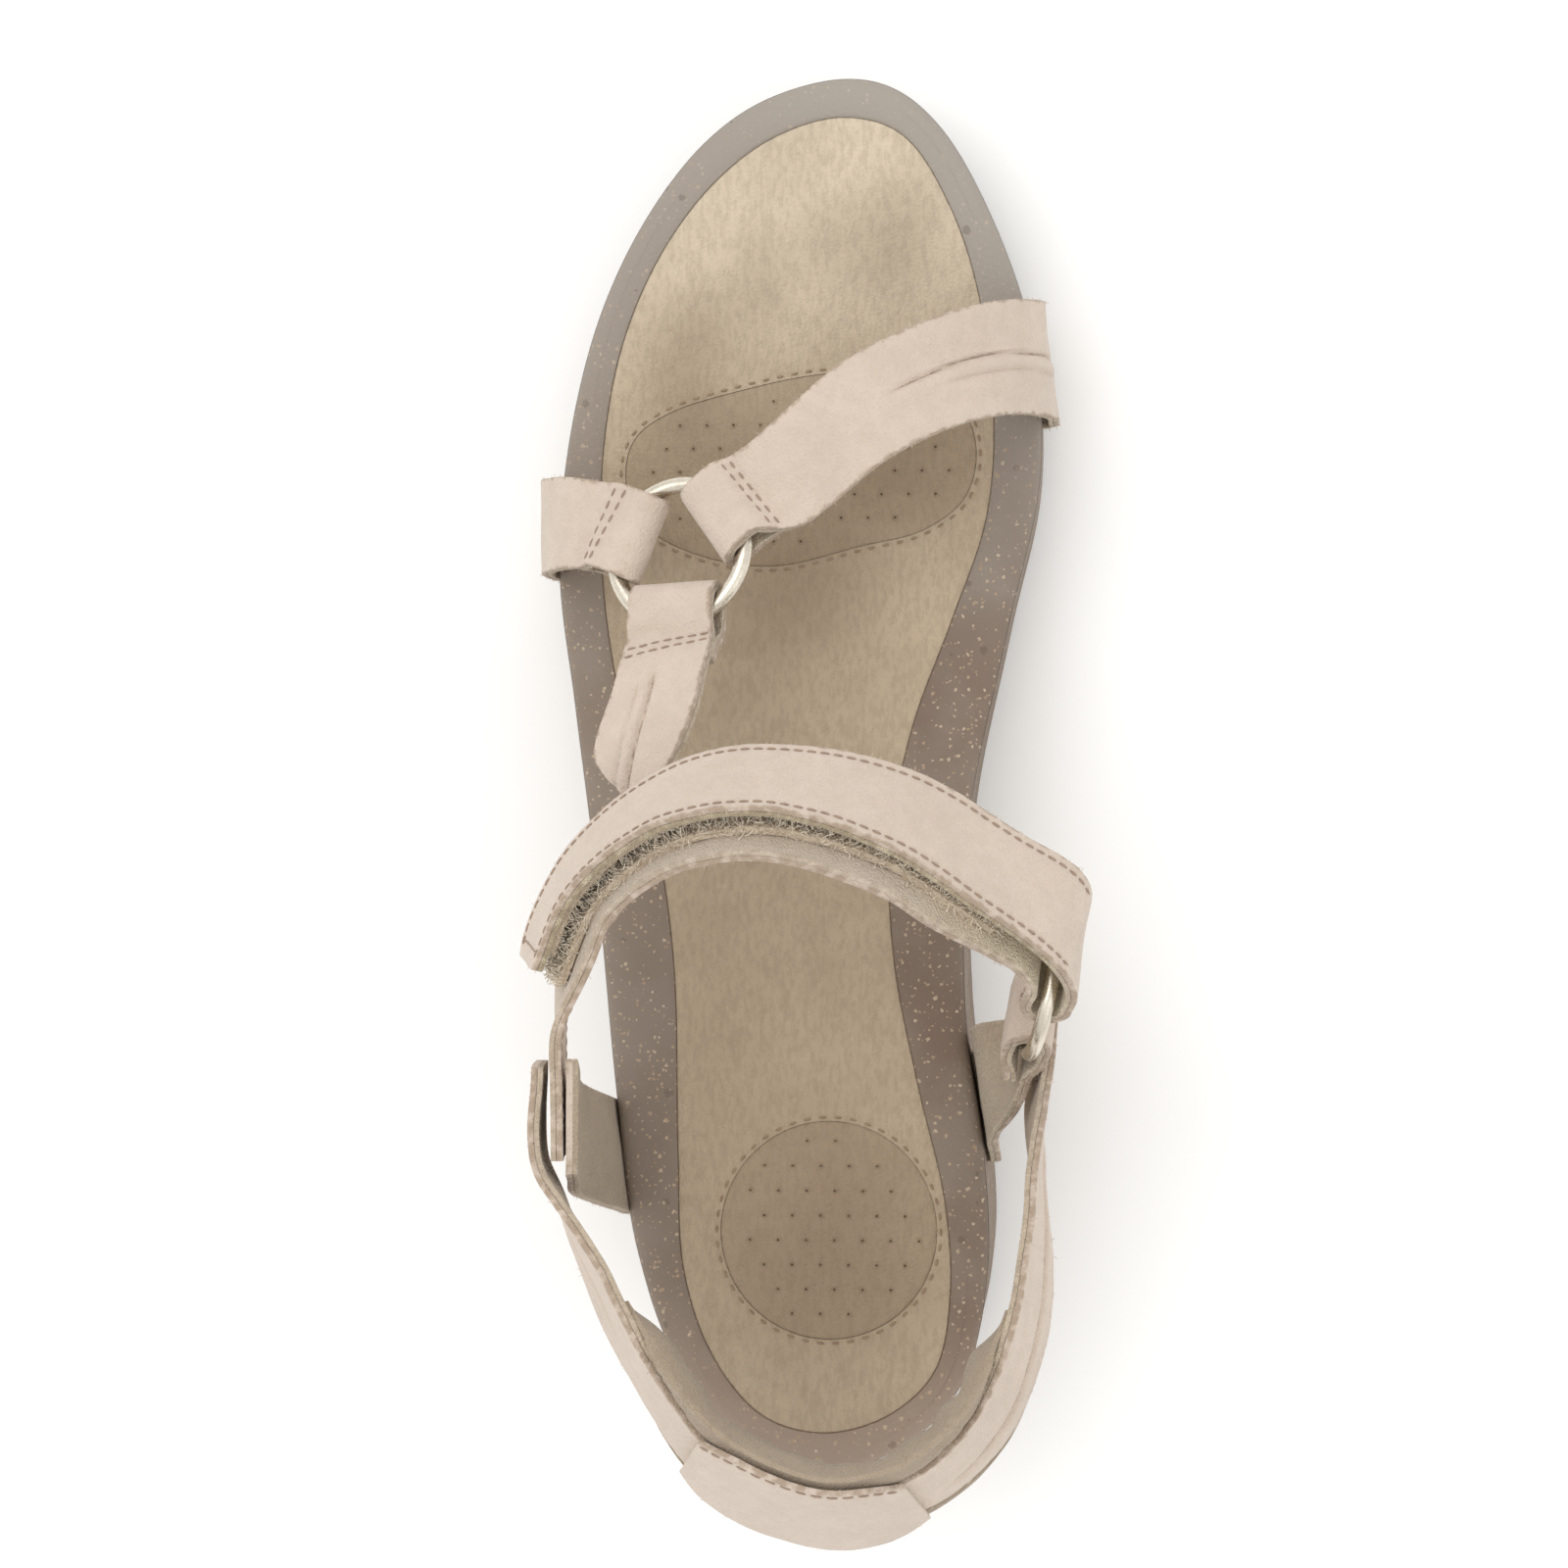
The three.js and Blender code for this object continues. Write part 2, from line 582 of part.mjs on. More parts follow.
const hookRun = flap.slice(5, -1);
const hookTape = tape(hookRun, -STRAP / 2 - GAP - HOOK_TAPE, -STRAP / 2 - GAP);
const pileSpine = cutRun(instepSpine, HINGE_RUN + 8, FLAP_SHARE * spineRun);
const pileRun = shifted(pileSpine, { out: () => -foldSpread });
const pileTape = tape(pileRun, STRAP / 2 + GAP, STRAP / 2 + GAP + LOOP_TAPE);

// ---------------------------------------------------------------- connector strap
// From the forefoot ring back along the lateral side, ending under the instep strap.
const underInstep = foldSpread + STRAP + 1.4;
const tuckIndex = Math.round(instepSpine.length * 0.62);
const tuck = instepSpine[tuckIndex];
const tuckNormal = normals(instepSpine)[tuckIndex];

function tuckKnot(toFront, width) {
  const p = tuck.p.clone().addScaledVector(tuck.a, toFront).addScaledVector(tuckNormal, -underInstep);
  const run = tuck.a.clone().cross(tuckNormal);
  return station(p, run.x < 0 ? run : run.negate(), width);
}

const connector = ringStrap(V(0.05, -0.99, 0), 13, [
  knot([-26.2, 15, 71.5], V(-0.93, -0.12, -0.34), CONNECTOR_WIDTH - 1.5),
  knot([-29.4, 2, 79.5], V(-0.87, -0.2, -0.45), CONNECTOR_WIDTH),
  tuckKnot(INSTEP_WIDTH / 2 + 1.5, CONNECTOR_WIDTH),
  tuckKnot(0, CONNECTOR_WIDTH),
]);

// ---------------------------------------------------------------- quarters
const quarterMedial = (() => {
  const knots = [
    ...ringKnots(medialRing, FOLD_HEADING.clone().negate(), QUARTER_LOOP_WIDTH),
    knot([39.6, -57.5, 64.5], V(-0.05, -0.9, 0.4), QUARTER_WIDTH - 3),
    ...anchorKnots(...ANCHORS.medialQuarter),
  ];
  return looped(through(knots), legSpread(medialRing, QUARTER_LOOP_WIDTH, PINCHED), 9);
})();

const quarterTop = -STRAP - GAP - 0.3; // the lateral quarter lies inside the straps sewn to it
const quarterLateral = through(
  [
    ...[9, 1, -7].map((up) => {
      const p = seamCentre.clone().addScaledVector(SEAM_UP, up).addScaledVector(SEAM_OUT, quarterTop);
      return station(p.addScaledVector(SEAM_FORWARD, up / 3 - 4), SEAM_FORWARD, QUARTER_WIDTH - 1);
    }),
    ...anchorKnots(...ANCHORS.lateralQuarter),
  ],
);

// ---------------------------------------------------------------- heel strap and collar
const MEDIAL_SEAM_OUT = medialRing.normal.clone();
const MEDIAL_SEAM_BACK = FOLD_ACROSS.clone().negate().normalize();
const medialSeam = medialRing.centre
  .clone()
  .addScaledVector(FOLD_HEADING, -(SMALL_RING_RADIUS + SMALL_RING_WIRE + 11));
const medialSeamRise = PINCHED + STRAP + SEAM_PLAY; // over the two sewn legs of the quarter's loop

function medialSeamKnot(back, width) {
  const p = medialSeam.clone().addScaledVector(MEDIAL_SEAM_BACK, back);
  const across = FOLD_HEADING.clone().negate();
  return station(p.addScaledVector(MEDIAL_SEAM_OUT, medialSeamRise), across, width);
}

const heelStrap = through(
  [
    seamKnot(8, STRAP + SEAM_PLAY, HEEL_STRAP_WIDTH - 3),
    seamKnot(-9, STRAP + SEAM_PLAY, HEEL_STRAP_WIDTH),
    knot([-42.4, -80, 95.5], V(-0.15, 0, -0.99), HEEL_STRAP_WIDTH),
    knot([-36.5, -91, 98], V(-0.27, -0.1, -0.95), HEEL_STRAP_WIDTH),
    knot([-26.5, -110, 101.5], V(-0.27, -0.25, -0.93), HEEL_STRAP_WIDTH),
    knot([-12.5, -127, 104], V(-0.22, -0.4, -0.89), HEEL_STRAP_WIDTH),
    knot([8.5, -134.6, 105], V(0, -0.45, -0.89), HEEL_STRAP_WIDTH),
    knot([24.5, -130.5, 103], V(0.16, -0.38, -0.91), HEEL_STRAP_WIDTH),
    knot([36, -120, 99.5], V(0.25, -0.3, -0.92), HEEL_STRAP_WIDTH),
    knot([42.6, -105, 94], V(0.27, -0.18, -0.94), HEEL_STRAP_WIDTH),
    knot([44.6, -90, 87], V(0.18, -0.28, -0.94), HEEL_STRAP_WIDTH),
    knot([44.6, -76, 79.5], V(0.02, -0.45, -0.89), HEEL_STRAP_WIDTH),
    medialSeamKnot(7, HEEL_STRAP_WIDTH - 4),
    medialSeamKnot(-5, HEEL_STRAP_WIDTH - 7),
  ],
);
const heelRun = lengths(heelStrap).at(-1);
const COLLAR_MIDDLE = heelRun * 0.475;

// A layer of the collar, tallest behind the heel. It tapers to its ends, where it is a share of the
// extra height over or under the strap's own width.
function collarPart(middle, halfLength, endShare, low, high) {
  const wider = (run) => {
    const t = Math.min(Math.abs(run - middle) / halfLength, 1);
    return (COLLAR_HEIGHT - HEEL_STRAP_WIDTH) * (1 - (1 - endShare) * t * t);
  };
  return layer(cutRun(shifted(heelStrap, { wider }), middle - halfLength, middle + halfLength), low, high);
}

const collarInside = -STRAP / 2 - GAP;
const collarPad = collarPart(COLLAR_MIDDLE, 52, -0.35, collarInside - COLLAR_PAD_THICKNESS, collarInside);
const padFace = collarInside - COLLAR_PAD_THICKNESS - GAP;
const collarLining = collarPart(COLLAR_MIDDLE, 56, -0.2, padFace - LEATHER, padFace);
const coverFace = STRAP / 2 + GAP;
const collarCover = collarPart(COLLAR_MIDDLE - 5, 21, 0.75, coverFace, coverFace + LEATHER);

// ---------------------------------------------------------------- materials
const finish = (color, roughness, metalness = 0) =>
  new THREE.MeshStandardMaterial({ color, roughness, metalness });
const NUBUCK = finish(0xcfbdab, 0.9);
const SUEDE_LINING = finish(0xb5a48c, 0.95);
const CORK_FOAM = finish(0x84726a, 0.85);
const RUBBER = finish(0x4d453f, 0.8);
const FOOTBED_LEATHER = finish(0xb8a280, 0.7);
const PAD_LEATHER = finish(0xa58f6f, 0.75);
const FOAM = finish(0xd8d0bc, 0.95);
const BOARD = finish(0xa07f58, 0.9);
const STEEL = finish(0xc9c5b8, 0.3, 1);
const TAPE = finish(0xa99c87, 1);

// ---------------------------------------------------------------- assembly
const sandal = new THREE.Group();

function add(name, solid, material) {
  const mesh = new THREE.Mesh(toGeometry(solid), material);
  mesh.name = name;
  sandal.add(mesh);
}

add("outsole", outsole(), RUBBER);
add("wedge_base", wedgeBase(), CORK_FOAM);
add("shank", shank(), STEEL);
add("footbed_frame", footbedFrame(), CORK_FOAM);
add("insole_board", insoleBoard(), BOARD);
add("footbed_foam", footbedFoam(), FOAM);
add("heel_cushion", heelCushion(), FOAM);
add("footbed_cover", footbedCover(), FOOTBED_LEATHER);
add("forefoot_pad", inlaidPad(forefootPadOutline), PAD_LEATHER);
add("heel_pad", inlaidPad(heelPadOutline), PAD_LEATHER);

add("forefoot_ring", ringSolid(forefootRing), STEEL);
add("medial_ring", ringSolid(medialRing), STEEL);

[
  ["toe_strap", toeStrap],
  ["lateral_tab", lateralTab],
  ["connector_strap", connector],
  ["instep_strap", instepStrap],
  ["closure_flap", flap],
  ["medial_quarter", quarterMedial],
  ["lateral_quarter", quarterLateral],
  ["heel_strap", heelStrap],
].forEach(([name, stations]) => {
  add(name, leatherOf(stations), NUBUCK);
  add(`${name}_lining`, liningOf(stations), SUEDE_LINING);
});
add("hook_tape", hookTape, TAPE);
add("pile_tape", pileTape, TAPE);

add("collar_cover", collarCover, NUBUCK);
add("collar_pad", collarPad, FOAM);
add("collar_lining", collarLining, SUEDE_LINING);

export default sandal;
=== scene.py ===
import math
from collections import namedtuple

import bmesh
import bpy
import numpy as np
from mathutils import Matrix, Vector, noise


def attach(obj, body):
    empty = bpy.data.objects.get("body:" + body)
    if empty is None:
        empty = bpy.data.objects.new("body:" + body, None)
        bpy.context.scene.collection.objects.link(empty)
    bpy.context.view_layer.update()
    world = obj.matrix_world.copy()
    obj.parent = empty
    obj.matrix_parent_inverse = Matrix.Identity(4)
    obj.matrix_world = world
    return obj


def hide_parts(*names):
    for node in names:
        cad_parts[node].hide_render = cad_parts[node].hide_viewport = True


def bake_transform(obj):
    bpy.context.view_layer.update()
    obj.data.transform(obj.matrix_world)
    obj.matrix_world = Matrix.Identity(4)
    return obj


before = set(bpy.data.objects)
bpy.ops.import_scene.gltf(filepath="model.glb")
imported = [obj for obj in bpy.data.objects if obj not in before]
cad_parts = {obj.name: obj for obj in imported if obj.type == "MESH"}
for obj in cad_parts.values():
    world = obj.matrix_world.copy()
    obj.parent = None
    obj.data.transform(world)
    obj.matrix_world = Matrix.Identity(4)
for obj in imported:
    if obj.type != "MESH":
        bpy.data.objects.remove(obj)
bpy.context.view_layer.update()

# ------------------------------------------------------------------ outsole
# The tread is a thin sheet of matt brown rubber, moulded with shallow cross grooves and curled up at
# the toe. It is cemented under the wedge, a little inside its edge. Lengths are in millimetres; +X is
# the inner side of the foot and +Y the toe.
MM = 0.001
SOLE_BODY = "sole_and_straps"
SOLE_LENGTH = 272
HEEL_HEIGHT = 61
BALL_HEIGHT = 29
TOE_RISE = 5
TOE_SPRING = 8
OUTSOLE_THICKNESS = 4
GROOVE_DEPTH = 1.5
GROOVE_WIDTH = 2.4
GROOVE_PITCH = 15
GROOVE_EASE = 0.7  # how far a groove's lips are rounded over
TREAD_INSET = 0.6
GAP = 0.3  # clearance between cemented layers
FLATS = (0, 0.2, 0.4, 0.6, 0.8, 0.94)  # where a flat face is divided, as shares of its half width
SOLE_PATTERN = [
    (5.5, 136), (-10, 132.3), (-22, 124.5), (-34, 110), (-44, 90), (-50.5, 64), (-52.3, 38), (-48.5, 11),
    (-42.5, -25), (-37, -65), (-32.5, -94), (-24.5, -116), (-11, -131.5), (4, -136), (19, -131), (30, -119),
    (34.8, -98), (34.2, -76), (30.4, -50), (30.6, -12), (38.2, 27), (44.4, 56), (43.4, 82), (36, 106),
    (25, 126), (15.5, 134),
]


def ease(t):
    t = np.clip(t, 0, 1)
    return t * t * (3 - 2 * t)


def rim(y):
    """Height of the sole's top edge at a place along the foot."""
    share = y / SOLE_LENGTH
    fall = ease((share + 0.36) / 0.52)
    return HEEL_HEIGHT + (BALL_HEIGHT - HEEL_HEIGHT) * fall + TOE_RISE * np.maximum(0, share * 4 - 1) ** 2


def ground(y):
    """Height of the sole's underside there."""
    return TOE_SPRING * np.maximum(0, (y / SOLE_LENGTH - 0.2) / 0.3) ** 2


def tread(y):
    """The underside with its cross grooves, which leave a plain flat in the middle."""
    half = SOLE_LENGTH / 2
    groove = np.round((y + half) / GROOVE_PITCH) * GROOVE_PITCH - half
    depth = GROOVE_DEPTH * ease((GROOVE_WIDTH / 2 + GROOVE_EASE / 2 - np.abs(y - groove)) / GROOVE_EASE)
    return ground(y) + depth * (np.abs(groove) >= GROOVE_PITCH) * (np.abs(groove) <= half - GROOVE_PITCH)


def spline(points, closed, steps):
    """Points of a centripetal Catmull-Rom curve at the given steps, counted in spans."""
    points = np.asarray(points, float)
    count = len(points)
    made = []
    for step in steps:
        i = min(int(step), count - (1 if closed else 2))
        w = step - i
        p1, p2 = points[i], points[(i + 1) % count]
        p0 = points[i - 1] if closed or i > 0 else 2 * p1 - p2
        p3 = points[(i + 2) % count] if closed or i + 2 < count else 2 * p2 - p1
        d0, d1, d2 = (math.sqrt(np.linalg.norm(b - a)) for a, b in ((p0, p1), (p1, p2), (p2, p3)))
        t1 = ((p1 - p0) / d0 - (p2 - p0) / (d0 + d1)) * d1 + p2 - p1
        t2 = ((p3 - p2) / d2 - (p3 - p1) / (d1 + d2)) * d1 + p2 - p1
        made.append(
            p1 + t1 * w + (3 * (p2 - p1) - 2 * t1 - t2) * w**2 + (2 * (p1 - p2) + t1 + t2) * w**3
        )
    return np.array(made)


def outline(pattern, per_span=24):
    return spline(pattern, True, np.arange(len(pattern) * per_span) / per_span)


def outwards(loop, by):
    """A closed counter-clockwise outline moved outwards."""
    along = np.roll(loop, -1, 0) - np.roll(loop, 1, 0)
    along /= np.linalg.norm(along, axis=1)[:, None]
    return loop + by * np.stack([along[:, 1], -along[:, 0]], 1)


Sides = namedtuple("Sides", "points out")  # lateral and medial rows from heel to toe, and their outward way


def sides(loop, slices):
    """A closed outline as two rows of points from the heel to the toe."""
    loop = np.roll(loop, -int(loop[:, 1].argmin()), 0)
    toe = int(loop[:, 1].argmax())
    points, out = [], []
    for sign, row in ((-1, np.vstack([loop[toe:], loop[:1]])[::-1]), (1, loop[: toe + 1])):
        run = np.concatenate([[0], np.cumsum(np.linalg.norm(np.diff(row, axis=0), axis=1))])
        at = np.linspace(0, run[-1], slices + 1)
        even = np.stack([np.interp(at, run, row[:, k]) for k in (0, 1)], 1)
        along = np.gradient(even, axis=0)
        along /= np.linalg.norm(along, axis=1)[:, None]
        points.append(even)
        out.append(sign * np.stack([along[:, 1], -along[:, 0]], 1))
    out[0][0] = out[1][0] = (out[0][0] + out[1][0]) / 2
    out[0][-1] = out[1][-1] = (out[0][-1] + out[1][-1]) / 2
    return Sides(points, out)


def soft_edges(mesh, angle=40):
    """Smooth shading that breaks at edges sharper than the angle, in degrees."""
    work = bmesh.new()
    work.from_mesh(mesh)
    for face in work.faces:
        face.smooth = True
    for edge in work.edges:
        edge.smooth = edge.calc_face_angle(0) < math.radians(angle)
    work.to_mesh(mesh)
    work.free()


def put_in_scene(name, data):
    """A new object in the scene, for a mesh, a light or a camera."""
    made = bpy.data.objects.new(name, data)
    bpy.context.scene.collection.objects.link(made)
    return made


def add_piece(name, mesh, material, body=SOLE_BODY, stands_for=()):
    """Puts a finished mesh in the scene as a piece that rides on a body."""
    piece = put_in_scene(name, mesh)
    mesh.materials.clear()
    mesh.materials.append(material)
    if body:
        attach(piece, body)
    if stands_for:
        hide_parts(*stands_for)
    return piece


def mesh_of(name, points, faces, weld=True):
    """A mesh from points in millimetres. Points that lie on each other are made one."""
    mesh = bpy.data.meshes.new(name)
    mesh.from_pydata((np.asarray(points) * MM).tolist(), [], faces)
    if weld:
        work = bmesh.new()
        work.from_mesh(mesh)
        bmesh.ops.remove_doubles(work, verts=work.verts, dist=2e-6)
        work.to_mesh(mesh)
        work.free()
    soft_edges(mesh)
    return mesh


def skin(rings, count, ends="open"):
    """Faces over rings of points laid one after another. The ends are open, capped or joined together."""
    faces = []
    for k in range(rings if ends == "joined" else rings - 1):
        a, b = k * count, (k + 1) % rings * count
        faces += [(a + i, b + i, b + (i + 1) % count, a + (i + 1) % count) for i in range(count)]
    if ends == "capped":
        last = (rings - 1) * count
        faces += [tuple(range(count)), tuple(range(last, last + count))[::-1]]
    return faces


def sole_body(name, section):
    """A closed layer of the sole. The section lists half a cross-section from the bottom middle out and
    up to the top middle, each entry a (sides, inset, share of the half width, height function)."""
    halves = ([], [])
    for rows, inset, share, height in section:
        pair = [p - inset * o for p, o in zip(rows.points, rows.out)]
        middle = (pair[0] + pair[1]) / 2
        for half, edge in zip(halves, pair):
            flat = middle + share * (edge - middle)
            half.append(np.column_stack([flat, height(flat[:, 1])]))
    loop = np.stack(halves[1] + halves[0][-2:0:-1], 1)
    return mesh_of(name, loop.reshape(-1, 3), skin(*loop.shape[:2]))


def rounded(rows, low, high, low_radius, high_radius, flats=FLATS, hollow=0.0):
    """Half of a slab's cross-section, with rounded corners and a wall that may be slightly hollow."""
    section = [(rows, low_radius, share, low) for share in flats]
    for angle in (0, 30, 60, 90):
        c, s = math.cos(math.radians(angle)), math.sin(math.radians(angle))
        lift = low_radius * (1 - c)
        section.append((rows, low_radius * (1 - s), 1, lambda y, lift=lift: low(y) + lift))
    for share in (0.15, 0.3, 0.5, 0.7, 0.85):
        inset = hollow * math.sin(math.pi * share)
        section.append((rows, inset, 1, lambda y, t=share: low(y) * (1 - t) + high(y) * t))
    for angle in (0, 30, 60, 90):
        c, s = math.cos(math.radians(angle)), math.sin(math.radians(angle))
        drop = high_radius * (1 - s)
        section.append((rows, high_radius * (1 - c), 1, lambda y, drop=drop: high(y) - drop))
    return section + [(rows, high_radius, share, high) for share in reversed(flats)]


def shade(red, green, blue):
    """An 8-bit screen colour as the linear colour that a shader takes."""
    line = (c / 255 / 12.92 if c < 11 else ((c / 255 + 0.055) / 1.055) ** 2.4 for c in (red, green, blue))
    return (*line, 1.0)


def node(tree, kind, inputs=None, **settings):
    """A node with its settings and inputs, where an input is a value or another node's output."""
    made = tree.nodes.new(kind)
    for key, value in settings.items():
        setattr(made, key, value)
    for key, value in (inputs or {}).items():
        if isinstance(value, bpy.types.NodeSocket):
            tree.links.new(value, made.inputs[key])
        else:
            made.inputs[key].default_value = value
    return made


def step(tree, kind, inputs=None, **settings):
    """The first output of a new node."""
    return node(tree, kind, inputs, **settings).outputs[0]


def maths(tree, operation, first, second):
    """Two values worked into one."""
    return step(tree, "ShaderNodeMath", {0: first, 1: second}, operation=operation)


def mix(tree, factor, first, second):
    """A colour between two others."""
    return node(tree, "ShaderNodeMix", {0: factor, 6: first, 7: second}, data_type="RGBA").outputs[2]


def object_place(tree):
    """The place on the sandal that is being shaded, in metres."""
    return node(tree, "ShaderNodeTexCoord").outputs["Object"]


def ramp(tree, value, low, high, to_low=0.0, to_high=1.0):
    """A value eased from one range to another."""
    reading = {"Value": value, "From Min": low, "From Max": high, "To Min": to_low, "To Max": to_high}
    return step(tree, "ShaderNodeMapRange", reading, interpolation_type="SMOOTHSTEP")


def shader_group(name, inputs, outputs):
    """An empty shader group with named inputs and outputs, as (tree, its inputs, its output node)."""
    tree = bpy.data.node_groups.new(name, "ShaderNodeTree")
    for label, (kind, value) in inputs.items():
        tree.interface.new_socket(label, in_out="INPUT", socket_type=kind).default_value = value
    for label, kind in outputs.items():
        tree.interface.new_socket(label, in_out="OUTPUT", socket_type=kind)
    return tree, tree.nodes.new("NodeGroupInput").outputs, tree.nodes.new("NodeGroupOutput")


def use(tree, group, **inputs):
    """A shader group placed in a material, with its own values."""
    values = {label.replace("_", " "): value for label, value in inputs.items()}
    return node(tree, "ShaderNodeGroup", values, node_tree=group)


def finish_of(name, roughness=0.8, metallic=0.0, **sockets):
    """A new material, as (material, tree, its shader)."""
    material = bpy.data.materials.new(name)
    material.use_nodes = True
    shader = material.node_tree.nodes["Principled BSDF"]
    shader.inputs["Roughness"].default_value = roughness
    shader.inputs["Metallic"].default_value = metallic
    for label, value in sockets.items():
        shader.inputs[label.replace("_", " ")].default_value = value
    return material, material.node_tree, shader


def bump(tree, shader, height, strength, distance):
    inputs = {"Height": height, "Strength": strength, "Distance": distance}
    tree.links.new(step(tree, "ShaderNodeBump", inputs), shader.inputs["Normal"])


# uneven colour: two tones of one stuff drifting into each other in soft patches
FLOAT, COLOUR = "NodeSocketFloat", "NodeSocketColor"
uneven, given, result = shader_group(
    "uneven_colour",
    {
        "Colour": (COLOUR, (1, 1, 1, 1)),
        "Other colour": (COLOUR, (0, 0, 0, 1)),
        "Patches per metre": (FLOAT, 60.0),
        "Amount": (FLOAT, 0.5),
    },
    {"Colour": COLOUR},
)
patches = {"Vector": object_place(uneven), "Scale": given["Patches per metre"], "Detail": 4.0}
cloud = node(uneven, "ShaderNodeTexNoise", {**patches, "Roughness": 0.6}).outputs["Fac"]
share = maths(uneven, "MULTIPLY", ramp(uneven, cloud, 0.36, 0.64), given["Amount"])
uneven.links.new(mix(uneven, share, given["Colour"], given["Other colour"]), result.inputs["Colour"])

# fine grain: tiny rounded pebbles with finer noise between them, as a height and as a mask
grain, given, result = shader_group(
    "fine_grain",
    {"Grains per metre": (FLOAT, 900.0)},
    {"Height": FLOAT, "Pits": FLOAT},
)
pebbles = {"Vector": object_place(grain), "Scale": given["Grains per metre"]}
cells = node(grain, "ShaderNodeTexVoronoi", pebbles).outputs["Distance"]
dust = node(grain, "ShaderNodeTexNoise", {**pebbles, "Detail": 6.0, "Roughness": 0.6}).outputs["Fac"]
grain.links.new(maths(grain, "SUBTRACT", dust, cells), result.inputs["Height"])
grain.links.new(ramp(grain, cells, 0.0, 0.28, 1.0, 0.0), result.inputs["Pits"])


def two_tone(name, tone, other, patches, grit=None, relief="Height", **settings):
    """A material of two tones that drift into each other, with grit as (grains per metre, strength,
    depth) and finish_of's settings."""
    material, tree, shader = finish_of(name, **settings)
    tint = use(tree, uneven, Colour=tone, Other_colour=other, Patches_per_metre=patches)
    tree.links.new(tint.outputs[0], shader.inputs["Base Color"])
    if grit:
        grains, strength, depth = grit
        bump(tree, shader, use(tree, grain, Grains_per_metre=grains).outputs[relief], strength, depth)
    return material


tread_rubber = two_tone(
    "tread_rubber", shade(88, 78, 68), shade(108, 96, 83), 45.0, (1500.0, 0.35, 0.0003), roughness=0.72
)
sole_outline = outline(SOLE_PATTERN)
tread_rows = sides(outwards(sole_outline, -TREAD_INSET), 560)
tread_section = rounded(tread_rows, tread, lambda y: ground(y) + OUTSOLE_THICKNESS, 0.7, 0.25)
add_piece(
    "outsole_tread",
    sole_body("outsole_tread", tread_section),
    tread_rubber,
    stands_for=["outsole"],
)

# ------------------------------------------------------------------ wedge and rim
# The wedge and the rim frame on it are moulded from brown foam with crumbs of cork in it. The rim frame
# stands round the footbed like a tray; strap ends are cemented in between the two layers.
FRAME_DEPTH = 13
RECESS_DEPTH = 8.4
FOOTBED_PATTERN = [
    (5.5, 128), (-8, 124.5), (-20, 116), (-31, 102), (-39, 84), (-43, 62), (-43, 36), (-38.5, 10),
    (-31, -14), (-26.3, -40), (-24.4, -75), (-23, -98), (-17.5, -114), (-8, -125.2), (3.5, -128.3),
    (15.5, -125), (24.5, -116.5), (27.5, -102), (26.4, -84), (21, -62), (16, -38), (15, -15), (19, 7),
    (26.5, 28), (33.3, 48), (35, 66), (33, 88), (27, 109), (17, 124.5),
]


def split(y):
    """Height of the joint between the wedge and the rim frame."""
    return rim(y) - FRAME_DEPTH


def recess_floor(y):
    return rim(y) - RECESS_DEPTH


crumbs, given, result = shader_group(
    "cork_crumbs",
    {"Crumbs per metre": (FLOAT, 420.0), "Share": (FLOAT, 0.3), "Size": (FLOAT, 0.3)},
    {"Mask": FLOAT, "Tone": FLOAT},
)
place = object_place(crumbs)
wobble = node(crumbs, "ShaderNodeTexNoise", {"Vector": place, "Scale": 1600.0, "Detail": 2.0})
shift = {0: wobble.outputs["Color"], "Scale": 0.0009}
shift = step(crumbs, "ShaderNodeVectorMath", shift, operation="SCALE")
moved = step(crumbs, "ShaderNodeVectorMath", {0: place, 1: shift}, operation="ADD")
cells = node(crumbs, "ShaderNodeTexVoronoi", {"Vector": moved, "Scale": given["Crumbs per metre"]})
lot = node(crumbs, "ShaderNodeSeparateColor", {0: cells.outputs["Color"]})
reach = maths(crumbs, "MULTIPLY", lot.outputs[1], given["Size"])
near = maths(crumbs, "LESS_THAN", cells.outputs["Distance"], reach)
chosen = maths(crumbs, "LESS_THAN", lot.outputs[0], given["Share"])
crumbs.links.new(maths(crumbs, "MULTIPLY", near, chosen), result.inputs["Mask"])
crumbs.links.new(lot.outputs[2], result.inputs["Tone"])


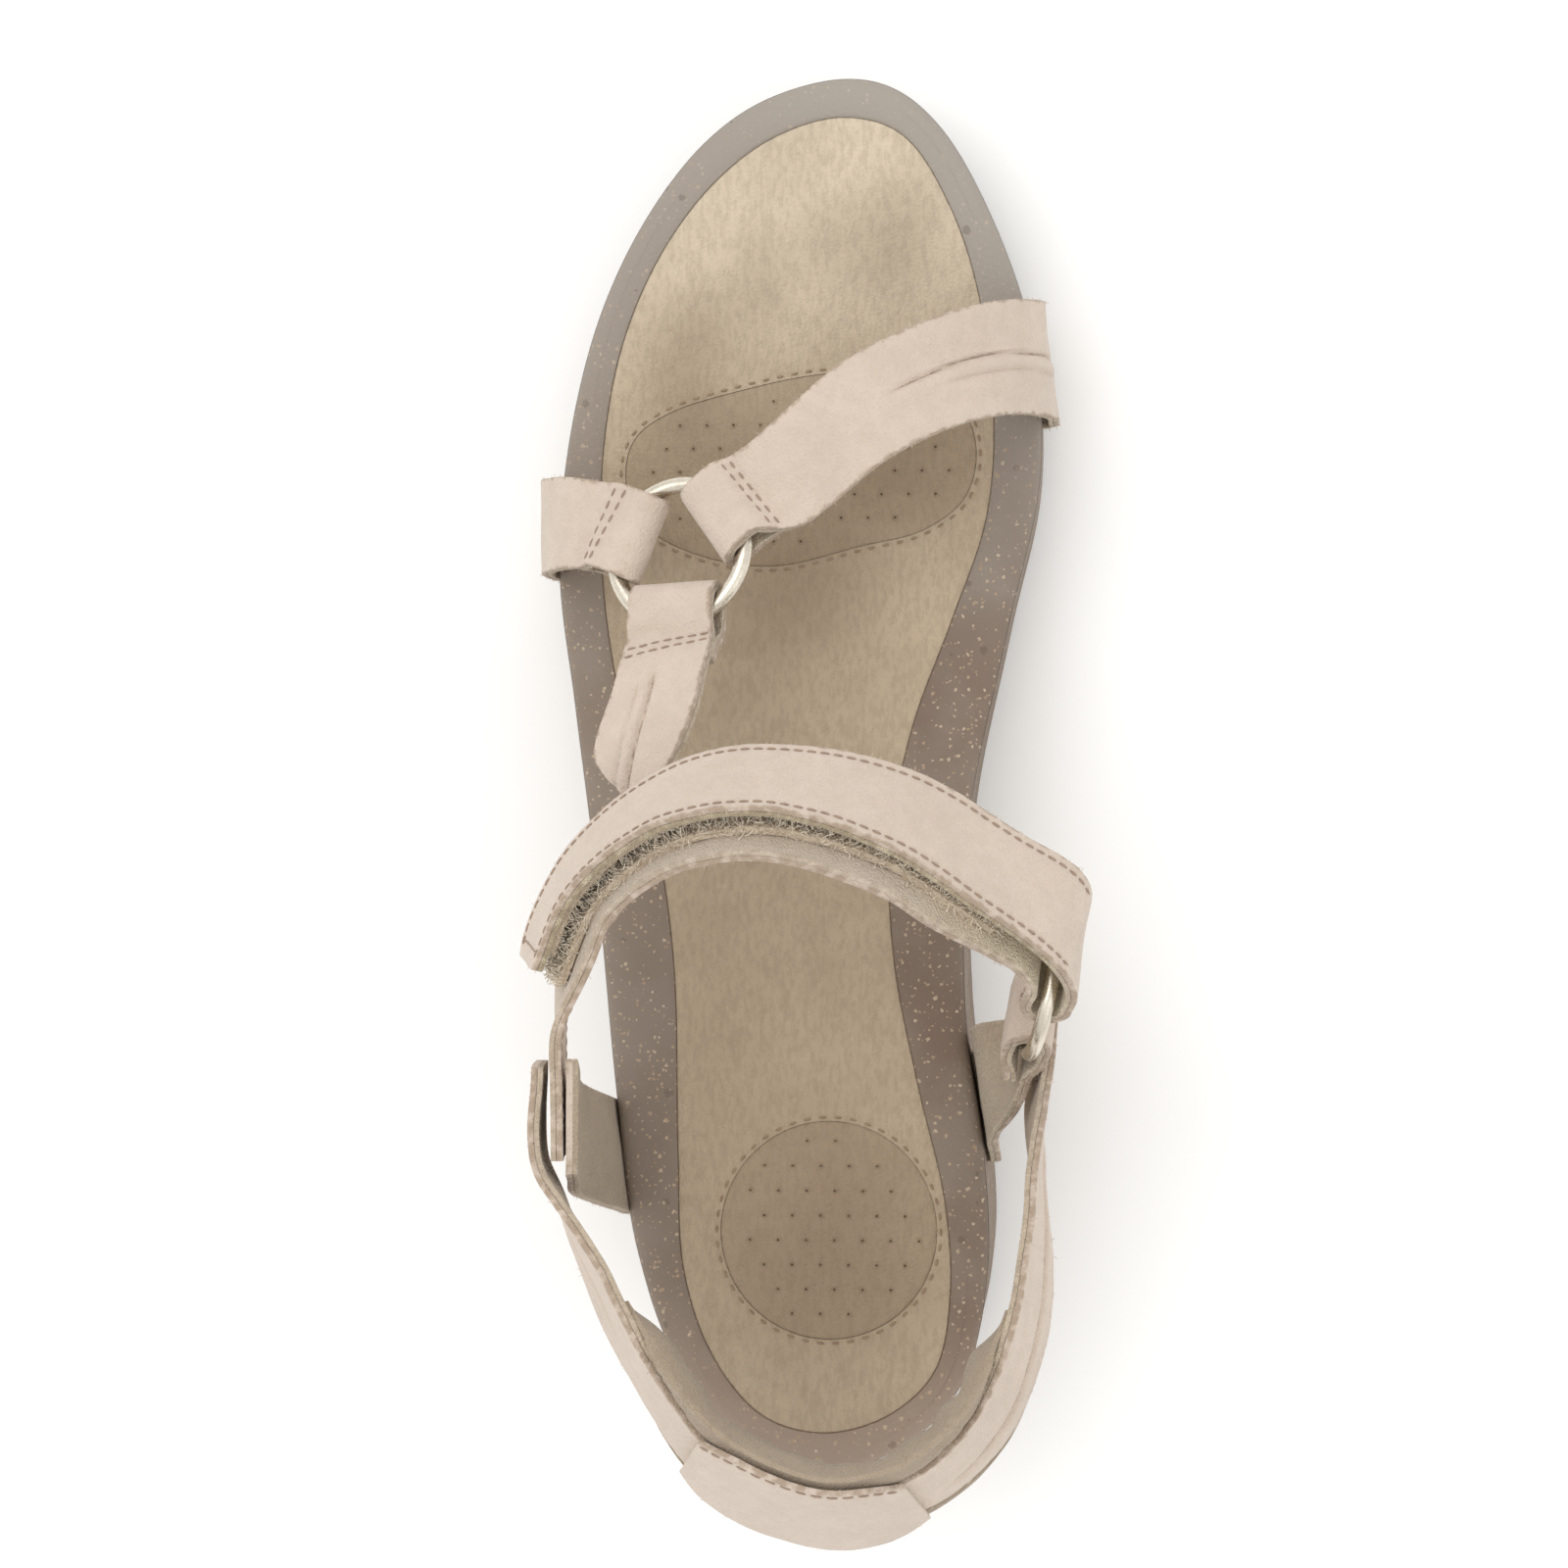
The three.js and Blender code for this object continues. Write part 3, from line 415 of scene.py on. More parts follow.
def cork_foam(name, tone, light_tone, toe_tone):
    """Foam with cork crumbs in it, paler towards the toe and the outer side, and lightened at the back of
    the heel by painted light that lifts the shade the straps and collar cast there.
    """
    material, tree, shader = finish_of(name, roughness=0.78)
    at = node(tree, "ShaderNodeSeparateXYZ", {0: object_place(tree)})
    patched = use(tree, uneven, Colour=tone, Other_colour=light_tone, Patches_per_metre=32.0, Amount=0.6)
    to_toe = ramp(tree, at.outputs["Y"], 0.0, 0.115)
    faded_and_painted_light = mix(tree, to_toe, patched.outputs[0], toe_tone)
    to_side = ramp(tree, at.outputs["X"], 0.01, -0.04, 0.0, 0.45)
    faded_and_painted_light = mix(tree, to_side, faded_and_painted_light, light_tone)
    # painted light: the back of the heel is mixed towards a paler tone to make up for the shade that the
    # straps and collar cast on it
    heel_painted_light = ramp(tree, at.outputs["Y"], -0.1, -0.13, 0.0, 0.7)
    faded_and_painted_light = mix(tree, heel_painted_light, faded_and_painted_light, shade(164, 146, 130))
    dots = use(tree, crumbs, Crumbs_per_metre=1150.0, Share=0.55, Size=0.42)
    large = use(tree, crumbs, Crumbs_per_metre=640.0, Share=0.2, Size=0.3)
    crumb = mix(tree, dots.outputs["Tone"], shade(212, 192, 166), shade(168, 140, 110))
    strength = ramp(tree, at.outputs["Y"], 0.02, 0.1, 0.62, 0.28)
    for mask in (dots.outputs["Mask"], large.outputs["Mask"]):
        faded_and_painted_light = mix(tree, maths(tree, "MULTIPLY", mask, strength), faded_and_painted_light, crumb)
    dark = use(tree, crumbs, Crumbs_per_metre=300.0, Share=0.2, Size=0.3)
    faded_and_painted_light = mix(tree, maths(tree, "MULTIPLY", dark.outputs["Mask"], 0.35), faded_and_painted_light, shade(86, 70, 58))
    tree.links.new(faded_and_painted_light, shader.inputs["Base Color"])
    bump(tree, shader, use(tree, grain, Grains_per_metre=1100.0).outputs["Height"], 0.3, 0.0003)
    return material


rim_foam = cork_foam("rim_foam", shade(118, 101, 87), shade(140, 128, 116), shade(155, 147, 138))
wedge_foam = cork_foam("wedge_foam", shade(122, 105, 91), shade(136, 122, 108), shade(150, 139, 127))

outer = sides(sole_outline, 420)
wedge_section = rounded(
    outer,
    lambda y: ground(y) + OUTSOLE_THICKNESS + GAP,
    lambda y: split(y) - GAP / 2,
    0.6,
    0.7,
    hollow=0.5,
)
add_piece(
    "wedge_body",
    sole_body("wedge_body", wedge_section),
    wedge_foam,
    stands_for=["wedge_base"],
)

footbed_outline = outline(FOOTBED_PATTERN)
inner = sides(outwards(footbed_outline, GAP), 420)
between = Sides([(a + b) / 2 for a, b in zip(outer.points, inner.points)], outer.out)
frame_section = rounded(outer, lambda y: split(y) + GAP / 2, rim, 0.7, 2.2)[: -len(FLATS)]
frame_section += [  # in place of a flat top: its crown, its inner lip and the recess
    (outer, 3.4, 1, lambda y: rim(y) + 0.12),
    (between, 0, 1, lambda y: rim(y) + 0.2),
    (inner, -1.8, 1, lambda y: rim(y) + 0.1),
    (inner, -0.7, 1, lambda y: rim(y) - 0.05),
    (inner, -0.15, 1, lambda y: rim(y) - 0.25),
    (inner, 0, 1, lambda y: rim(y) - 0.55),
    (inner, 0, 1, recess_floor),
    (inner, 0, 0.6, recess_floor),
    (inner, 0, 0, recess_floor),
]
add_piece(
    "rim_frame",
    sole_body("rim_frame", frame_section),
    rim_foam,
    stands_for=["footbed_frame"],
)

# ------------------------------------------------------------------ inside the sole
# Out of sight under the footbed lie a spring steel shank in the waist, a fibre board, a sheet of pale
# foam and a softer round cushion under the heel, each cut flat and cemented to the next.
shank_steel = two_tone(
    "shank_steel",
    shade(176, 172, 166),
    shade(146, 142, 137),
    300.0,
    (2500.0, 0.1, 0.0001),
    roughness=0.35,
    metallic=1.0,
)
fibre_board = two_tone(
    "fibre_board", shade(166, 134, 98), shade(134, 104, 72), 420.0, (800.0, 0.5, 0.0003), roughness=0.9
)
soft_foam = two_tone(
    "soft_foam",
    shade(222, 214, 196),
    shade(206, 196, 176),
    90.0,
    (1400.0, 0.6, 0.0004),
    "Pits",
    roughness=0.95,
)
for name, material, slot_name in (
    ("shank", shank_steel, "shank_steel"),
    ("insole_board", fibre_board, "fibre_board"),
    ("footbed_foam", soft_foam, "soft_foam"),
    ("heel_cushion", soft_foam, "soft_foam"),
):
    hidden_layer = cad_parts[name]
    hidden_layer.data.materials.clear()
    hidden_layer.data.materials.append(material)

# ------------------------------------------------------------------ footbed
# A sheet of tan leather covers the foam, worn dark and smooth by the foot. Two inlaid pads of the same
# leather, pricked with air holes, lie under the ball and the heel, each with a row of stitches round it.
FOOTBED_TOP = 8.0  # above the recess floor
COVER_THICKNESS = 1.2
HAIRLINE = 0.02  # the gap left to see between layers that lie on each other
PAD_SINK = 0.12
PAD_CROWN = 0.55
HEEL_PAD_CENTRE = (4.5, -90)
HEEL_PAD_RADIUS = 0.211 * 97
HOLE_PITCH = 5.4
HOLE_RADIUS = 0.42
HOLE_LIP = 0.16
HOLE_BORDER = 0.86  # the share of a pad's reach that is pricked
FOREFOOT_PAD_PATTERN = [
    (-38.5, 58), (-36, 49), (-26, 42.5), (-9.5, 39.5), (9, 43.5), (21, 46.5), (29, 52.5), (31.5, 61),
    (29, 70), (19, 76.5), (2.5, 77.5), (-16.5, 74), (-30, 69.8), (-36.5, 65),
]
# where the foot has pressed the footbed down: x, y, radius across, radius along, depth
PRESSED = [
    (4, -92, 17, 24, 0.45), (-20, 60, 16, 17, 0.35), (12, 62, 17, 18, 0.4), (15, 104, 9.5, 12, 0.3),
    (2, 105, 7, 9, 0.2), (-12, 98, 6, 9, 0.22), (-22, 88, 6.5, 9, 0.24), (-28, 77, 8, 12, 0.34),
    (-5, 34, 16, 13, 0.5),
]


def footbed_height(x, y):
    """Height of the footbed's surface, pressed in where the foot stands."""
    sunk = sum(d * np.exp(-(((x - u) / a) ** 2) - ((y - v) / b) ** 2) for u, v, a, b, d in PRESSED)
    return recess_floor(y) + FOOTBED_TOP - sunk


def settle(mesh, surface, above):
    """Moves the points that lie above a height on to a surface, keeping how far they were over it."""
    for vertex in mesh.vertices:
        x, y, z = vertex.co / MM
        level = recess_floor(y) + FOOTBED_TOP
        share = float(np.clip((z - level + above) / above, 0, 1.5))
        vertex.co.z += share * (surface(x, y) - level) * MM


def worn_leather(name, tone, toe_tone, stain, hair):
    """Footbed leather: paler at the toe, with darker prints where the foot stands, and fine wrinkles."""
    material, tree, shader = finish_of(name, roughness=0.62, Specular_IOR_Level=0.35)
    spot = object_place(tree)
    at = node(tree, "ShaderNodeSeparateXYZ", {0: spot})
    base = use(tree, uneven, Colour=tone, Other_colour=hair, Patches_per_metre=20.0, Amount=0.5).outputs[0]
    toe_mask = ramp(tree, at.outputs["Y"], 0.055, 0.118)
    colour = mix(tree, toe_mask, base, toe_tone)
    for x, y, across, along, depth in PRESSED:
        centre = (x * MM, y * MM, 0)
        away = step(tree, "ShaderNodeVectorMath", {0: spot, 1: centre}, operation="SUBTRACT")
        size = (1 / (across * MM), 1 / (along * MM), 0)
        away = step(tree, "ShaderNodeVectorMath", {0: away, 1: size}, operation="MULTIPLY")
        far = node(tree, "ShaderNodeVectorMath", {0: away}, operation="LENGTH").outputs["Value"]
        print_mask = ramp(tree, far, 0.1, 1.6, 1.1 * depth, 0.0)
        colour = mix(tree, print_mask, colour, stain)
    soiled = use(tree, uneven, Colour=colour, Other_colour=stain, Patches_per_metre=60.0, Amount=0.14)
    stretched = step(tree, "ShaderNodeMapping", {"Vector": spot, "Scale": (2.2, 0.8, 1.0)})
    creases = {"Vector": stretched, "Scale": 420.0, "Detail": 5.0, "Roughness": 0.65}
    crease = node(tree, "ShaderNodeTexNoise", creases).outputs["Fac"]
    speck = mix(tree, ramp(tree, crease, 0.36, 0.6, 0.2, 0.0), soiled.outputs[0], shade(112, 94, 72))
    tree.links.new(speck, shader.inputs["Base Color"])
    tree.links.new(ramp(tree, crease, 0.3, 0.7, 0.55, 0.72), shader.inputs["Roughness"])
    pits = use(tree, grain, Grains_per_metre=1700.0).outputs["Height"]
    bump(tree, shader, maths(tree, "ADD", crease, pits), 0.5, 0.0004)
    return material


footbed_leather = worn_leather(
    "footbed_leather", shade(177, 159, 135), shade(206, 191, 168), shade(136, 117, 94), shade(192, 175, 151)
)
pad_leather = worn_leather(
    "pad_leather", shade(162, 144, 120), shade(186, 169, 145), shade(130, 111, 89), shade(174, 156, 132)
)

forefoot_pad_outline = outline(FOREFOOT_PAD_PATTERN)
turns = np.radians(np.arange(0, 360, 2.5))
heel_pad_outline = np.array(HEEL_PAD_CENTRE) + HEEL_PAD_RADIUS * np.stack([np.cos(turns), np.sin(turns)], 1)


def plug(name, loop, low, high):
    """A plain prism over an outline, to cut a hole with."""
    count = len(loop)
    points = [(x, y, low) for x, y in loop] + [(x, y, high) for x, y in loop]
    faces = [tuple(range(count))[::-1], tuple(range(count, 2 * count))]
    faces += [(i, (i + 1) % count, count + (i + 1) % count, count + i) for i in range(count)]
    return put_in_scene(name, mesh_of(name, points, faces))


def plain_mesh(holder):
    """The mesh that an object's modifiers make of it."""
    return bpy.data.meshes.new_from_object(holder.evaluated_get(bpy.context.evaluated_depsgraph_get()))


def pierced(mesh, cutters):
    """The mesh with the cutters taken out of it. The cutters are used up."""
    work = put_in_scene("work", mesh)
    for cutter in cutters:
        hole = work.modifiers.new(cutter.name, "BOOLEAN")
        hole.operation = "DIFFERENCE"
        hole.solver = "EXACT"
        hole.object = cutter
    made = plain_mesh(work)
    for used in (work, *cutters):
        bpy.data.objects.remove(used)
    return made


cover_flats = tuple(np.linspace(0, 0.96, 17))
cover_rows = sides(outwards(footbed_outline, GAP - HAIRLINE), 240)
cover_section = rounded(
    cover_rows,
    lambda y: recess_floor(y) + FOOTBED_TOP - COVER_THICKNESS,
    lambda y: recess_floor(y) + FOOTBED_TOP,
    0.1,
    0.35,
    cover_flats,
)
cutters = [
    plug("pad_hole", outwards(loop, GAP)[::2], 10, 80) for loop in (forefoot_pad_outline, heel_pad_outline)
]
cover_mesh = pierced(sole_body("footbed_leather", cover_section), cutters)
settle(cover_mesh, footbed_height, COVER_THICKNESS)
soft_edges(cover_mesh)
add_piece(
    "footbed_leather", cover_mesh, footbed_leather, stands_for=["footbed_cover"]
)


def inlay(name, loop, node_name):
    """A pad let into the footbed, slightly crowned, with its edge turned down."""
    loop = outwards(loop, GAP - 1.5 * HAIRLINE)
    count = len(loop)
    centre = loop.mean(0)
    # each ring: its inset, how far it has drawn in to the centre, its height over the footbed
    rings = [(0.0, 0.0, -COVER_THICKNESS), (0.0, 0.0, -0.5 - PAD_SINK), (0.05, 0.0, -0.08 - PAD_SINK)]
    rings += [(0.2, 0.0, -PAD_SINK)]
    for fall in np.linspace(0.03, 0.97, 22):
        rings.append((0.2, fall, -PAD_SINK + PAD_CROWN * (1 - (1 - fall) ** 4)))
    points = []
    for inset, fall, lift in rings:
        ring = outwards(loop, -inset)
        ring = centre + (ring - centre) * (1 - fall)
        top = footbed_height(ring[:, 0], ring[:, 1]) if lift > -1 else recess_floor(ring[:, 1]) + FOOTBED_TOP
        points.append(np.column_stack([ring, top + lift]))
    faces = [
        (k * count + i, k * count + (i + 1) % count, (k + 1) * count + (i + 1) % count, (k + 1) * count + i)
        for k in range(len(rings) - 1)
        for i in range(count)
    ]
    faces += [tuple(range(count))[::-1], tuple(range((len(rings) - 1) * count, len(rings) * count))]
    mesh = mesh_of(name, np.vstack(points), faces)
    return add_piece(name, mesh, pad_leather, stands_for=[node_name])


def pad_height(loop, x, y):
    """Height of a pad's crowned surface at a point inside its outline, and its share of the way out."""
    centre = loop.mean(0)
    ray = np.array([x, y]) - centre
    turn = np.arctan2(*(loop - centre).T[::-1])
    same_way = np.cos(turn - math.atan2(ray[1], ray[0])).argmax()
    reach = np.linalg.norm(loop[same_way] - centre)
    out = min(np.linalg.norm(ray) / reach, 1)
    return footbed_height(x, y) - PAD_SINK + PAD_CROWN * (1 - out**4), out


inlay("forefoot_inlay", forefoot_pad_outline, "forefoot_pad")
inlay("heel_inlay", heel_pad_outline, "heel_pad")


def geometry_tree(name, inputs):
    """A Geometry Nodes tree with named inputs, as (tree, its inputs, its output node)."""
    tree = bpy.data.node_groups.new(name, "GeometryNodeTree")
    tree.interface.new_socket("Geometry", in_out="INPUT", socket_type="NodeSocketGeometry")
    for label, (kind, value) in inputs.items():
        socket = tree.interface.new_socket(label, in_out="INPUT", socket_type=kind)
        if value is not None:
            socket.default_value = value
    tree.interface.new_socket("Geometry", in_out="OUTPUT", socket_type="NodeSocketGeometry")
    return tree, tree.nodes.new("NodeGroupInput").outputs, tree.nodes.new("NodeGroupOutput")


def grown(name, source, tree, **values):
    """The plain mesh that a Geometry Nodes tree makes from a mesh."""
    holder = put_in_scene("holder", source)
    modifier = holder.modifiers.new("grow", "NODES")
    modifier.node_group = tree
    sockets = {item.name: item.identifier for item in tree.interface.items_tree if item.in_out == "INPUT"}
    for label, value in values.items():
        modifier[sockets[label.replace("_", " ")]] = value
    made = plain_mesh(holder)
    made.name = name
    holder.modifiers.remove(modifier)
    bpy.data.objects.remove(holder)
    return made


# air holes: at each point a flat dark disc of painted shade that stands in for the hole, with a pressed lip
# round it
LENGTH, MATERIAL, INTEGER = "NodeSocketFloat", "NodeSocketMaterial", "NodeSocketInt"
air_holes, given, result = geometry_tree(
    "air_holes",
    {
        "Hole radius": (LENGTH, 0.0005),
        "Lip": (LENGTH, 0.0002),
        "Hole finish": (MATERIAL, None),
        "Lip finish": (MATERIAL, None),
    },
)
disc = {"Vertices": 12, "Radius": given["Hole radius"]}
disc = step(air_holes, "GeometryNodeMeshCircle", disc, fill_type="NGON")
disc = step(air_holes, "GeometryNodeSetMaterial", {0: disc, "Material": given["Hole finish"]})
rim_path = {"Resolution": 12, "Radius": given["Hole radius"]}
rim_path = step(air_holes, "GeometryNodeCurvePrimitiveCircle", rim_path)
lip_wire = step(air_holes, "GeometryNodeCurvePrimitiveCircle", {"Resolution": 6, "Radius": given["Lip"]})
lip = step(air_holes, "GeometryNodeCurveToMesh", {"Curve": rim_path, "Profile Curve": lip_wire})
lip = step(air_holes, "GeometryNodeSetMaterial", {0: lip, "Material": given["Lip finish"]})
both = node(air_holes, "GeometryNodeJoinGeometry")
for part in (lip, disc):
    air_holes.links.new(part, both.inputs[0])
spread = {"Points": given["Geometry"], "Instance": both.outputs[0]}
spread = step(air_holes, "GeometryNodeInstanceOnPoints", spread)
real = step(air_holes, "GeometryNodeRealizeInstances", {0: spread})
air_holes.links.new(step(air_holes, "GeometryNodeSetShadeSmooth", {0: real}), result.inputs[0])

hole_shadow = two_tone("hole_shadow", shade(104, 86, 66), shade(78, 62, 46), 600.0, roughness=0.9)
hole_sizes = {"Hole_radius": HOLE_RADIUS * MM, "Lip": HOLE_LIP * MM}
hole_finishes = {"Hole_finish": hole_shadow, "Lip_finish": pad_leather}

for name, loop in (("forefoot_air_holes", forefoot_pad_outline), ("heel_air_holes", heel_pad_outline)):
    points = []
    low, high = loop.min(0), loop.max(0)
    for row, y in enumerate(np.arange(low[1], high[1], HOLE_PITCH * 0.866)):  # rows of equal triangles
        for x in np.arange(low[0] + (row % 2) * HOLE_PITCH / 2, high[0], HOLE_PITCH):
            z, out = pad_height(loop, x, y)
            if out < HOLE_BORDER:
                points.append((x, y, z + 1.5 * HAIRLINE))
    spots = mesh_of(name + "_spots", points, [], weld=False)
    hole_piece = put_in_scene(name, grown(name, spots, air_holes, **hole_sizes, **hole_finishes))
    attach(hole_piece, SOLE_BODY)

# sewing: a plump stitch laid along every path, one after another
sewing, given, result = geometry_tree(
    "sewing",
    {
        "Pitch": (LENGTH, 0.003),
        "Stitch length": (LENGTH, 0.0023),
        "Thread width": (LENGTH, 0.0006),
        "Thread": (MATERIAL, None),
    },
)
path = step(sewing, "GeometryNodeMeshToCurve", {0: given["Geometry"]})
path = step(sewing, "GeometryNodeResampleCurve", {"Curve": path, "Length": given["Pitch"]}, mode="LENGTH")
along = {"Vector": step(sewing, "GeometryNodeInputTangent")}
turned = step(sewing, "FunctionNodeAlignRotationToVector", along, axis="X")
bead = step(sewing, "GeometryNodeMeshUVSphere", {"Segments": 8, "Rings": 6, "Radius": 0.5})
size = {"X": given["Stitch length"], "Y": given["Thread width"], "Z": given["Thread width"]}
size = step(sewing, "ShaderNodeCombineXYZ", size)
laid = {"Points": path, "Instance": bead, "Rotation": turned, "Scale": size}
laid = step(sewing, "GeometryNodeInstanceOnPoints", laid)
real = step(sewing, "GeometryNodeRealizeInstances", {0: laid})
smooth = step(sewing, "GeometryNodeSetShadeSmooth", {0: real})
threaded = step(sewing, "GeometryNodeSetMaterial", {0: smooth, "Material": given["Thread"]})
sewing.links.new(threaded, result.inputs[0])

twist = (5000.0, 0.4, 0.0001)
footbed_thread = two_tone(
    "footbed_thread", shade(150, 129, 103), shade(120, 100, 77), 900.0, twist, roughness=0.7
)
upper_thread = two_tone(
    "upper_thread", shade(160, 138, 120), shade(134, 113, 97), 900.0, twist, roughness=0.7
)
Stitch = namedtuple("Stitch", "pitch length width")


def sewn(name, paths, thread, body, stitch):
    """A piece of sewing along paths, which are lists of points in millimetres."""
    points, edges = [], []
    for path in paths:
        start = len(points)
        points += [tuple(p) for p in path]
        edges += [(start + i, start + i + 1) for i in range(len(path) - 1)]
    line = bpy.data.meshes.new(name + "_path")
    line.from_pydata((np.array(points) * MM).tolist(), edges, [])
    sizes = {
        "Pitch": stitch.pitch * MM,
        "Stitch_length": stitch.length * MM,
        "Thread_width": stitch.width * MM,
    }
    return add_piece(name, grown(name, line, sewing, Thread=thread, **sizes), thread, body)


seams = []
for loop, beside in ((forefoot_pad_outline, 1.1), (heel_pad_outline, 1.0)):
    ring = outwards(loop, beside)
    ring = np.vstack([ring, ring[:1]])
    seams.append(np.column_stack([ring, footbed_height(ring[:, 0], ring[:, 1]) + HAIRLINE]))
sewn("footbed_stitching", seams, footbed_thread, SOLE_BODY, Stitch(2.9, 1.5, 0.6))

# ------------------------------------------------------------------ rings
# Two rings of satin nickel-plated wire, butt-welded and tumbled smooth. The larger one joins the three
# forefoot straps and the smaller one, at the inner ankle, carries the fold of the closure.
Ring = namedtuple("Ring", "centre normal radius wire")


def unit(vectors):
    vectors = np.asarray(vectors, float)
    return vectors / np.linalg.norm(vectors, axis=-1, keepdims=True)


FOREFOOT_RING = Ring(np.array([-24.2, 40, 60]), unit((-0.3, 0.2, 0.93)), 13.5, 1.6)
MEDIAL_RING = Ring(np.array([45.5, -42.5, 82]), unit((0.97, -0.2, -0.12)), 12, 1.4)

ring_metal, tree, shader = finish_of("ring_metal", roughness=0.3, metallic=1.0)
worn = {"Colour": shade(222, 214, 200), "Other_colour": shade(190, 181, 166), "Patches_per_metre": 220.0}
tree.links.new(use(tree, uneven, **worn).outputs[0], shader.inputs["Base Color"])
scuffs = {"Vector": object_place(tree), "Scale": 2500.0, "Detail": 3.0}
scuffs = node(tree, "ShaderNodeTexNoise", scuffs).outputs["Fac"]
tree.links.new(ramp(tree, scuffs, 0.3, 0.7, 0.2, 0.42), shader.inputs["Roughness"])
bump(tree, shader, scuffs, 0.08, 0.0001)
WELD_RISE = 0.05
WELD_REACH = 1.6  # in steps round the ring


def ring_mesh(name, ring, steps=96, sides_round=20):
    """A wire ring, with the slight swelling that its weld leaves."""
    right = unit(np.cross(ring.normal, (0.3, 1, 0.1)))
    ahead = np.cross(ring.normal, right)
    points = []
    for k in range(steps):
        turn = 2 * math.pi * k / steps
        spoke = math.cos(turn) * right + math.sin(turn) * ahead
        from_weld = (k + steps / 2) % steps - steps / 2
        wire = ring.wire + WELD_RISE * math.exp(-((from_weld / WELD_REACH) ** 2))
        for j in range(sides_round):
            tilt = 2 * math.pi * j / sides_round
            reach = ring.radius + wire * math.cos(tilt)
            points.append(ring.centre + spoke * reach + ring.normal * wire * math.sin(tilt))
    return mesh_of(name, points, skin(steps, sides_round, "joined"))


for name, ring, body in (
    ("forefoot_ring", FOREFOOT_RING, "toe_ring"),
    ("medial_ring", MEDIAL_RING, "ankle_ring"),
):
    mesh = ring_mesh(name + "_wire", ring)
    add_piece(name + "_wire", mesh, ring_metal, body, stands_for=[name])

# ------------------------------------------------------------------ forefoot straps
# Every strap is a band of thick nubuck, cut raw at its edges, with a thin suede lining pasted behind it.
# The forefoot straps pass through the large ring, turn back under themselves and are sewn down there.
# A strap is a row of stations: a point on its middle surface, a unit vector to the right of its run,
# seen from outside, and its width.
Run = namedtuple("Run", "p a w")
LEATHER = 1.2
LINING = 0.7
STRAP = LEATHER + GAP + LINING
WIRE_CLEARANCE = 0.6
PINCHED = STRAP / 2 + GAP / 2
TOE_STRAP_WIDTH = 22.5
TAB_WIDTH = 18.5
CONNECTOR_WIDTH = 20
RING_LOOP_WIDTH = 17
ANCHOR_DEPTH = 15
SLOT_OFFSET = STRAP / 2 + 0.45
SWAY = 0.42  # how far worn leather stands out of its true surface
SEWING_DEPTH = 0.06  # how deep a stitch's middle lies under the leather's face
STRAP_STITCH = Stitch(2.4, 1.8, 0.5)
RING_TURN = 13  # run of a strap's turn round the large ring
TOE_TAIL = 15  # how far each strap's end is turned back under it
TAB_TAIL = 10
CONNECTOR_TAIL = 13


def through(rows, pitch=1.1):
    """Close stations through a few (point, across, width) knots, by a curve along each edge."""
    points = np.array([row[0] for row in rows], float)
    half = unit([row[1] for row in rows]) * np.array([[row[2] / 2] for row in rows])
    steps = []
    for i in range(len(rows) - 1):
        parts = max(2, round(np.linalg.norm(points[i + 1] - points[i]) / pitch))
        steps += [i + j / parts for j in range(parts)]
    steps.append(len(rows) - 1)
    right, left = spline(points + half, False, steps), spline(points - half, False, steps)
    return Run((right + left) / 2, unit(right - left), np.linalg.norm(right - left, axis=1))


def outward(run):
    """Unit normals of a strap's stations, facing out."""
    before = np.vstack([run.p[:1], run.p[:-1]])
    after = np.vstack([run.p[1:], run.p[-1:]])
    return unit(np.cross(run.a, after - before))


def lengths(run):
    return np.concatenate([[0], np.cumsum(np.linalg.norm(np.diff(run.p, axis=0), axis=1))])


def read(where, at, rows):
    """Points or vectors at places between stations, whose own places are given."""
    return np.stack([np.interp(where, at, rows[:, k]) for k in range(3)], -1)


def shifted(run, out=0.0, side=0.0, wider=0.0):
    """Stations moved along their normals and sideways, and widened, by numbers or functions of the run."""
    at = lengths(run)
    out, side, wider = (f(at) if callable(f) else np.full(len(at), float(f)) for f in (out, side, wider))
    return Run(run.p + outward(run) * out[:, None] + run.a * side[:, None], run.a, run.w + wider)


def cut(run, start, stop=1e9):
    """The part of a strap between two runs, ending exactly there."""
    at = lengths(run)
    stop = min(stop, at[-1])
    keep = at[(at > start + 0.2) & (at < stop - 0.2)]
    where = np.concatenate([[start], keep, [stop]])
    return Run(read(where, at, run.p), unit(read(where, at, run.a)), np.interp(where, at, run.w))


def ring_rows(ring, heading, width):
    """The first knots of a strap that turns round a ring's wire."""
    heading = np.asarray(heading, float)
    e = unit(heading - (heading @ ring.normal) * ring.normal)
    nearest = math.sqrt(ring.radius**2 - (width / 2) ** 2)
    reaches = (nearest, ring.radius + ring.wire)
    return [(ring.centre + e * reach, np.cross(e, ring.normal), width) for reach in reaches]


def leg_spread(ring, width):
    """Half the distance between the two legs of a loop, which are pinched together past the wire."""
    open_by = ring.wire + WIRE_CLEARANCE + STRAP / 2
    wire_end = ring.radius + ring.wire - math.sqrt(ring.radius**2 - (width / 2) ** 2)
    return lambda run: open_by + (PINCHED - open_by) * ease((run - wire_end) / 4)


